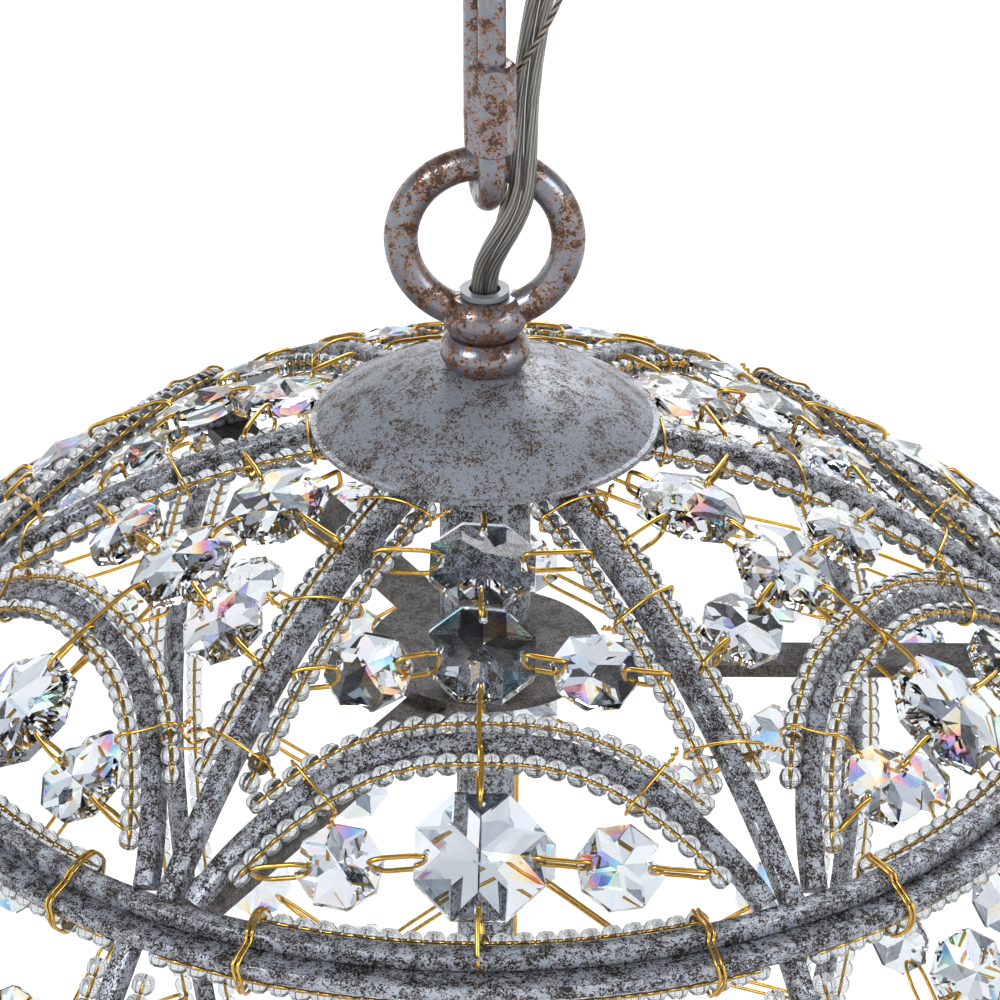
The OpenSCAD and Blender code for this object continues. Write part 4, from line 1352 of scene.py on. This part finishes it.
@dataclass
class Crystals:
    """Cut octagons in every panel."""

    globe: Globe
    finishes: Finishes
    girdle: float = 0.9 * MM
    star: float = 0.6
    hole_r: float = 0.6 * MM
    askew: float = 0.09
    seed: int = 11

    def cut_stone(self, cut: Cut) -> bpy.types.Object:
        """Cut one octagon: eight kites from its point to its corners, and a triangle on each edge."""
        corner_r = cut.size / 2 / cos(radians(22.5))
        star_r = self.star * cut.size / 2
        top = cut.thickness / 2
        drop = (top - self.girdle) * star_r * cos(radians(22.5)) / corner_r
        shape = bmesh.new()
        rims = []
        for side in (1, -1):
            point = shape.verts.new((0.0, 0.0, side * top))
            inner, rim = [], []
            for k in range(8):
                a, b = radians(45 * k), radians(45 * k + 22.5)
                inner.append(shape.verts.new((star_r * cos(a), star_r * sin(a), side * (top - drop))))
                rim.append(shape.verts.new((corner_r * cos(b), corner_r * sin(b), side * self.girdle)))
            for k in range(8):
                ahead = (k + 1) % 8
                shape.faces.new([point, inner[k], rim[k], inner[ahead]])
                shape.faces.new([inner[ahead], rim[k], rim[ahead]])
            rims.append(rim)
        for k in range(8):
            ahead = (k + 1) % 8
            shape.faces.new([rims[0][k], rims[1][k], rims[1][ahead], rims[0][ahead]])
        bmesh.ops.recalc_face_normals(shape, faces=shape.faces)
        mesh = bpy.data.meshes.new("stone")
        shape.to_mesh(mesh)
        shape.free()
        stone = new_object(f"stone_{cut.size / MM:.0f}", mesh)
        self.drill(stone, cut)
        self.number_facets(stone.data)
        stone.data.materials.clear()
        stone.data.materials.append(self.finishes.crystal)
        return stone

    def drill(self, stone: bpy.types.Object, cut: Cut) -> None:
        """Drill a stone's holes near its edges."""
        turns = [0, 180] if cut.holes == 2 else [0, 90, 180, 270]
        reach = cut.thickness
        outline = [(0.0, -reach), (self.hole_r, -reach), (self.hole_r, reach), (0.0, reach)]
        places = [Matrix.Translation((cut.hole_at * cos(radians(t)), cut.hole_at * sin(radians(t)), 0.0))
                  for t in turns]
        drills = new_object("drills", lathe("drills", outline, 8, places))
        modifier = stone.modifiers.new("drill", "BOOLEAN")
        modifier.operation = "DIFFERENCE"
        modifier.solver = "EXACT"
        modifier.object = drills
        depsgraph = bpy.context.evaluated_depsgraph_get()
        drilled = bpy.data.meshes.new_from_object(stone.evaluated_get(depsgraph), depsgraph=depsgraph)
        stone.modifiers.remove(modifier)
        stone.data = drilled
        bpy.data.objects.remove(drills)

    @staticmethod
    def number_facets(mesh: bpy.types.Mesh) -> None:
        """Give each front facet a number from its direction, which picks its painted tone, and the others
        0; shade them flat.
        """
        numbers = []
        for face in mesh.polygons:
            n = face.normal
            number = (12.9898 * round(n.x, 2) + 78.233 * round(n.y, 2)) % 1
            numbers.append(0.1 + 0.9 * number if 0.1 < n.z < 0.999 else 0.0)
            face.use_smooth = False
        mesh.attributes.new("facet", "FLOAT", "FACE").data.foreach_set("value", numbers)

    def set_stones(self, tree: NodeBuild, stone: bpy.types.Object, name: str, spots: list[Vector],
                   *nodes: str) -> None:
        """Set one size of stone at its spots."""
        carrier = lines_mesh(name, [Line(spots, [self.globe.out(p) for p in spots])])
        piece = tree.run(name, carrier, {"Crystal": stone, "Askew": self.askew, "Seed": self.seed})
        settle(piece, Slot.CRYSTAL, *nodes)

    def panel_spots(self, cut: Cut, lower: bool) -> list[Vector]:
        """Middles of one size of stone in the six arched panels of one half."""
        spots = []
        for i in range(PANELS):
            for r, azimuth in PANEL_PLACES[cut]:
                middle = i * SECTOR + (BASKET_TURN if lower else 0.0)
                spot = self.globe.at(self.globe.polar_of(r * MM), middle + azimuth,
                                     self.globe.crystal_radius)
                spots.append(self.globe.lower(spot) if lower else spot)
        return spots

    def side_spots(self, cut: Cut) -> list[Vector]:
        """Middles of one size of stone in the six upright panels."""
        return [self.globe.at(polar, i * SECTOR + BASKET_TURN + azimuth, self.globe.crystal_radius)
                for i in range(PANELS) for polar, azimuth in SIDE_PLACES[cut]]

    def build(self) -> None:
        """Cut the stones and set them."""
        tree = setting_tree()
        stones = {cut: self.cut_stone(cut) for cut in (LARGE, MEDIUM, SMALL)}
        names = {LARGE: "large", MEDIUM: "medium", SMALL: "small"}
        for cut, word in names.items():
            self.set_stones(tree, stones[cut], f"dome_crystals_{word}", self.panel_spots(cut, False),
                            f"dome_octagons_{word}")
            lower = ("bottom_octagons",) if cut is LARGE else ()
            self.set_stones(tree, stones[cut], f"bottom_crystals_{word}", self.panel_spots(cut, True),
                            *lower)
        for cut in (MEDIUM, SMALL):
            self.set_stones(tree, stones[cut], f"basket_crystals_{names[cut]}", self.side_spots(cut),
                            f"basket_octagons_{names[cut]}")
        for stone in stones.values():
            bpy.data.objects.remove(stone)


# --- Wire clips and ties ---


# Outline of a ring tie in millimetres, out from the rings' outer face and up from their top
RING_TIE_OVER = [(-11.7, -1.0), (-10.6, 0.9), (-8.6, 1.2), (-4.6, 0.5), (-3.7, -1.0), (0.4, -3.0)]
# The rest of it, up from their underside
RING_TIE_UNDER = [(0.6, 0.0), (-0.4, -2.8), (-3.0, -4.9), (-5.6, -3.0), (-9.8, -0.6), (-11.4, 2.0)]


@dataclass
class WireWork:
    """Gold wire loops that join the crystals, and ties round the bars and the strands."""

    globe: Globe
    finishes: Finishes
    clip_r: float = 0.42 * MM
    tie_r: float = 0.3 * MM
    tie_reach: float = 2.2 * MM
    tail_turns: float = 2.5
    tail_wind: float = 0.28 * MM
    clip_steps: int = 20

    def clip(self, start: Vector, end: Vector, front: float = 2.0, back: float = 2.8) -> Line:
        """Closed staple of wire from one hole to another, over the glass and back under it.

        Args:
            start: the first hole, on the crystals' sphere.
            end: the other hole.
            front: height of its front run, in millimetres.
            back: depth of its back run, in millimetres.

        Returns:
            The loop.
        """
        middle = (start + end) / 2
        out = self.globe.out(middle)
        along = (end - start) / 2
        across = along.normalized().cross(out)
        points = []
        for i in range(self.clip_steps):
            turn = 2 * pi * (i + 0.5) / self.clip_steps
            c, s = cos(turn), sin(turn)
            run = (1 if c > 0 else -1) * abs(c) ** 0.45
            rise = abs(s) ** 0.45 * (front if s > 0 else -back) * MM
            bow = (0.3 if s > 0 else -0.5) * (1 - run * run) * MM
            points.append(middle + along * run + across * bow + out * rise)
        return Line(points, closed=True)

    def tie(self, middle: Vector, along: Vector, side: float, sink: float, slant: float,
            seed: int) -> list[Line]:
        """Wire bound round a bar and its two strands, with a short twisted tail.

        Args:
            middle: on the outer face of the bar.
            along: direction of the bar.
            side: distance of the strands from the bar's middle.
            sink: depth of the strands under its outer face.
            slant: how far it runs along the bar on its way across, as a share of its width.
            seed: turns the tail this way or that.

        Returns:
            The loop and its tail.
        """
        out = self.globe.out(middle)
        across = along.cross(out).normalized()
        b = self.tie_reach
        crest = max(0.45 * MM, b - sink - 0.4 * MM)
        half = [(side + b, -sink), (side + 0.7 * b, 0.72 * b - sink), (side, b - sink),
                (1.8 * MM, crest), (-1.8 * MM, crest),
                (-side, b - sink), (-side - 0.7 * b, 0.72 * b - sink), (-side - b, -sink),
                (-side - 0.5 * b, -sink - 0.8 * b), (0.0, -max(sink + b, 4.2 * MM)),
                (side + 0.5 * b, -sink - 0.8 * b)]
        corners = [middle + across * x + along * slant * x + out * z for x, z in half]
        loop = smooth_route([*corners, corners[0]], 3)[:-1]
        sign = 1 if seed % 2 else -1
        start = corners[0] if sign > 0 else corners[7]
        tail = []
        for i in range(13):
            t, wind = i / 12, 2 * pi * self.tail_turns * i / 12
            tail.append(start + (across * sign * 2.6 + along * 2.2 * (seed % 3 - 1) + out * 1.4) * t * MM
                        + (along * sin(wind) + out * cos(wind)) * self.tail_wind * min(4 * t, 1.0))
        return [Line(loop, closed=True), Line(tail)]

    def stone_hole(self, cut: Cut, centre: Vector, towards: Vector) -> Vector:
        """Hole of a stone on the side towards a point."""
        out = self.globe.out(centre)
        side = towards - centre
        side = (side - out * side.dot(out)).normalized()
        return centre + side * cut.hole_at

    def join(self, cut_a: Cut, a: Vector, cut_b: Cut, b: Vector) -> Line:
        """Clip between two neighbouring stones."""
        return self.clip(self.stone_hole(cut_a, a, b), self.stone_hole(cut_b, b, a))

    def hang(self, cut: Cut, stone: Vector, strand: Vector, front: float = 2.0) -> Line:
        """Clip from a stone to a strand."""
        return self.clip(self.stone_hole(cut, stone, strand), strand, front)

    def panel_clips(self) -> list[Line]:
        """Clips of the arched panel at azimuth 0."""
        g = self.globe

        def spot(r: float, azimuth: float) -> Vector:
            """Point on the crystals' sphere at a distance in millimetres from the axis."""
            return g.at(g.polar_of(r * MM), azimuth, g.crystal_radius)

        def strand(r: float, side: int) -> Vector:
            """Point between a bar and the strand beside it."""
            return spot(r, side * (SECTOR / 2 - degrees(3.0 / r)))

        high, low, large = (spot(r, a) for r, a in (*PANEL_PLACES[MEDIUM], *PANEL_PLACES[LARGE]))
        lines = [self.join(MEDIUM, high, MEDIUM, low), self.hang(MEDIUM, high, spot(28.5, 0), 0.8),
                 self.hang(MEDIUM, low, spot(77, 0), 2.9), self.hang(LARGE, large, spot(74, 0), 2.9),
                 self.hang(LARGE, large, spot(103, 0), 3.4)]
        for s in (-1, 1):
            upper, under = (spot(r, a) for r, a in PANEL_PLACES[SMALL] if a * s > 0)
            lines += [self.hang(MEDIUM, high, strand(41.5, s)), self.join(MEDIUM, low, SMALL, upper),
                      self.hang(SMALL, upper, strand(66.5, s)), self.join(LARGE, large, SMALL, under),
                      self.hang(SMALL, under, spot(94.5, s * 22.8))]
        return lines

    def panel_ties(self) -> list[Line]:
        """Ties of the arched panel at azimuth 0, with those of the bar on its right."""
        g = self.globe
        arch = Arch(g)
        lines = []
        for n, (r, slant) in enumerate([(30.5, 0.1), (54, 0.3), (80, -0.2)]):
            middle = g.at(degrees(asin(r * MM / g.radius)), SECTOR / 2, g.radius)
            below = g.at(degrees(asin((r + 2) * MM / g.radius)), SECTOR / 2, g.radius)
            lines += self.tie(middle, (below - middle).normalized(), g.strand_side, g.strand_sink, slant, n)
        for n, station in enumerate((52, 128)):
            middle = arch.point(station, g.radius, 0)
            ahead = arch.point(station + 2, g.radius, 0)
            lines += self.tie(middle, (ahead - middle).normalized(), g.arch_side, g.arch_sink,
                              0.25 * (n - 0.5), n + 1)
        return lines

    def ring_ties(self) -> list[Line]:
        """Ties round the two upper rings of one panel."""
        lines = []
        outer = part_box("basket_top_ring")[1].x
        high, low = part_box("dome_ring")[1].z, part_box("basket_top_ring")[0].z
        for n, azimuth in enumerate((-20.5, 20.5)):
            a = radians(azimuth)
            out = Vector((sin(a), -cos(a), 0.0))
            along = Vector((cos(a), sin(a), 0.0))
            section = [(outer + r * MM, level + z * MM)
                       for level, part in ((high, RING_TIE_OVER), (low, RING_TIE_UNDER))
                       for r, z in part]
            for k in (0, 1):
                points = [out * r + UP * z + along * (k - 0.5 + 0.35 * sin(2.2 * i + n)) * 0.9 * MM
                          for i, (r, z) in enumerate(section)]
                lines.append(Line(smooth_route([*points, points[0]], 3)[:-1], closed=True))
        return lines

    def side_clips(self) -> list[Line]:
        """Clips of the upright panel at azimuth 0."""
        g = self.globe

        def spot(place: tuple[float, float]) -> Vector:
            """Point on the crystals' sphere."""
            return g.at(place[0], place[1], g.crystal_radius)

        lines = []
        column = SIDE_PLACES[MEDIUM]
        lines += [self.join(MEDIUM, spot(a), MEDIUM, spot(b)) for a, b in zip(column, column[1:])]
        for s in (-1, 1):
            row = [p for p in SIDE_PLACES[SMALL] if p[1] == s * INNER]
            for polar, azimuth in row:
                r = g.crystal_radius * sin(radians(polar))
                edge = s * (SECTOR / 2 - degrees(g.strand_side / r))
                end = g.at(polar, edge, g.crystal_radius)
                corner = [p for p in SIDE_PLACES[SMALL] if p[1] == s * CORNER and abs(p[0] - polar) < 4]
                if corner:
                    lines += [self.join(SMALL, spot((polar, azimuth)), SMALL, spot(corner[0])),
                              self.hang(SMALL, spot(corner[0]), end)]
                elif polar in (67.0, 113.0):
                    lines.append(self.clip(self.stone_hole(SMALL, spot((polar, azimuth)), end), end))
            lines += [self.join(SMALL, spot(a), MEDIUM, spot(b)) for a, b in zip(row[1:], column)]
            outer = [p for p in SIDE_PLACES[SMALL] if p[1] == s * EDGE]
            for place, inner in zip(outer, row[2:]):
                reach = degrees(3.0 * MM / (g.crystal_radius * sin(radians(place[0]))))
                lines += [self.join(SMALL, spot(place), SMALL, spot(inner)),
                          self.hang(SMALL, spot(place), spot((place[0], s * (SECTOR / 2 - reach))))]
        return lines

    def side_ties(self) -> list[Line]:
        """Ties round the upright bar on the right of a panel."""
        g = self.globe
        lines = []
        for n, polar in enumerate((58, 74, 90, 106, 122)):
            middle = g.at(polar, SECTOR / 2, g.radius)
            below = g.at(polar + 1, SECTOR / 2, g.radius)
            lines += self.tie(middle, (below - middle).normalized(), g.strand_side, g.strand_sink,
                              0.3 * (n % 3 - 1), n)
        return lines

    def around(self, lines: list[Line], turn: float, lower: bool) -> list[Line]:
        """Repeat a panel's wires in all six panels, mirrored into the lower half if asked."""
        made = []
        for i in range(PANELS):
            place = Matrix.Rotation(radians(i * SECTOR + turn), 4, "Z")
            made += [line.moved(place) for line in lines]
        if lower:
            made = [Line([self.globe.lower(p) for p in line.points], [], line.closed) for line in made]
        return made

    def build(self) -> None:
        """Bend every clip and tie."""
        tree = wire_tree()
        clips = self.around(self.panel_clips(), 0.0, False)
        clips += self.around(self.panel_clips(), BASKET_TURN, True)
        clips += self.around(self.side_clips(), BASKET_TURN, False)
        ties = self.around(self.panel_ties(), 0.0, False) + self.around(self.ring_ties(), 0.0, False)
        ties += self.around(self.panel_ties(), BASKET_TURN, True)
        ties += self.around(self.side_ties(), BASKET_TURN, False)
        for name, lines, radius, node in (("crystal_clip_wires", clips, self.clip_r, "crystal_clips"),
                                          ("frame_tie_wires", ties, self.tie_r, "frame_ties")):
            piece = tree.run(name, lines_mesh(name, lines),
                             {"Radius": radius, "Sides": 6, "Finish": self.finishes.gold})
            settle(piece, Slot.GOLD, node)


# --- Lamps ---


@dataclass
class LampCluster:
    """The candle lamps on their arms."""

    finishes: Finishes
    candles: int = 3
    first_azimuth: float = 30.0
    circle_r: float = 42 * MM
    base_r: float = 6 * MM
    glass_r: float = 14 * MM
    wall: float = 0.8 * MM
    base_h: float = 17 * MM
    neck_h: float = 20 * MM

    def places(self) -> list[Matrix]:
        """Foot of each lamp's base."""
        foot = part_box("lamps")[0].z
        made = []
        for i in range(self.candles):
            a = radians(self.first_azimuth + i * 360 / self.candles)
            made.append(Matrix.Translation((self.circle_r * sin(a), -self.circle_r * cos(a), foot)))
        return made

    def glass_outline(self, radius: float, top: float) -> Outline:
        """Outer line of the flame-shaped glass, from its neck to its tip."""
        widest = self.base_h + self.neck_h
        rise = top - widest
        tip_arc = (radius * radius + rise * rise) / (2 * radius)
        neck = [(self.base_r + (radius - self.base_r) * (1 - (1 - t) ** 2), self.base_h + self.neck_h * t)
                for t in [i / 8 for i in range(8)]]
        line = []
        for i in range(17):
            z = rise * i / 16
            line.append((max(radius - tip_arc + sqrt(tip_arc * tip_arc - z * z), 0.0), widest + z))
        return neck + line

    def build(self) -> None:
        """Blow the glass, turn the screw bases, add the filaments, and dress the candles."""
        low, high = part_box("lamps")
        top = high.z - low.z
        outer = self.glass_outline(self.glass_r, top)
        inner = self.glass_outline(self.glass_r - self.wall, top - 2 * self.wall)
        glass = new_object("lamp_envelopes", lathe("lamp_glass", outer + inner[::-1], 32, self.places()))
        glass.data.materials.append(self.finishes.lamp)
        screw = [(0.0, 0.0), (2.0 * MM, 0.0), (2.4 * MM, 1.2 * MM), (4.6 * MM, 2.6 * MM)]
        for i in range(7):
            z = (3.4 + 1.7 * i) * MM
            screw += [(self.base_r - 0.8 * MM, z), (self.base_r - 0.1 * MM, z + 0.85 * MM)]
        screw += [(self.base_r - 0.6 * MM, self.base_h), (self.base_r - 0.6 * MM, self.base_h + 1.5 * MM),
                  (0.0, self.base_h + 1.5 * MM)]
        bases = new_object("lamp_screw_bases", lathe("lamp_bases", screw, 32, self.places()))
        bases.data.materials.append(self.finishes.brass)
        filaments = []
        for place in self.places():
            for k in range(4):
                a = radians(45 + 90 * k)
                foot = Vector((2.2 * MM * cos(a), 2.2 * MM * sin(a), self.base_h + 10 * MM))
                head = Vector((3.2 * MM * cos(a + 0.9), 3.2 * MM * sin(a + 0.9), self.base_h + 40 * MM))
                filaments.append(Line([place @ foot.lerp(head, t / 6) for t in range(7)]))
        sticks = wire_tree().run("lamp_filaments", lines_mesh("filaments", filaments),
                                 {"Radius": 0.6 * MM, "Sides": 10, "Finish": self.finishes.phosphor})
        settle(glass, Slot.LAMP, "lamps")
        settle(bases, Slot.LAMP)
        settle(sticks, Slot.LAMP)
        report(glass)
        report(bases)
        dress(self.finishes.bars, "lamp_hub", "lamp_arms", "candle_cups")
        dress(self.finishes.holder, "lamp_holders")
        dress(self.finishes.ivory, "candle_sleeves")


def main() -> None:
    """Build the chandelier's looks in order."""
    logging.basicConfig(level=logging.INFO, format="%(name)s: %(message)s")
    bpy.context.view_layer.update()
    rim_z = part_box("cap")[0].z
    globe = Globe(rim_z)
    Studio(rim_z).build()
    finishes = make_finishes()
    Suspension(finishes).build()
    Cage(globe, finishes).build()
    BeadWork(globe, finishes).build()
    Crystals(globe, finishes).build()
    WireWork(globe, finishes).build()
    LampCluster(finishes).build()


if __name__ == "__main__":
    main()
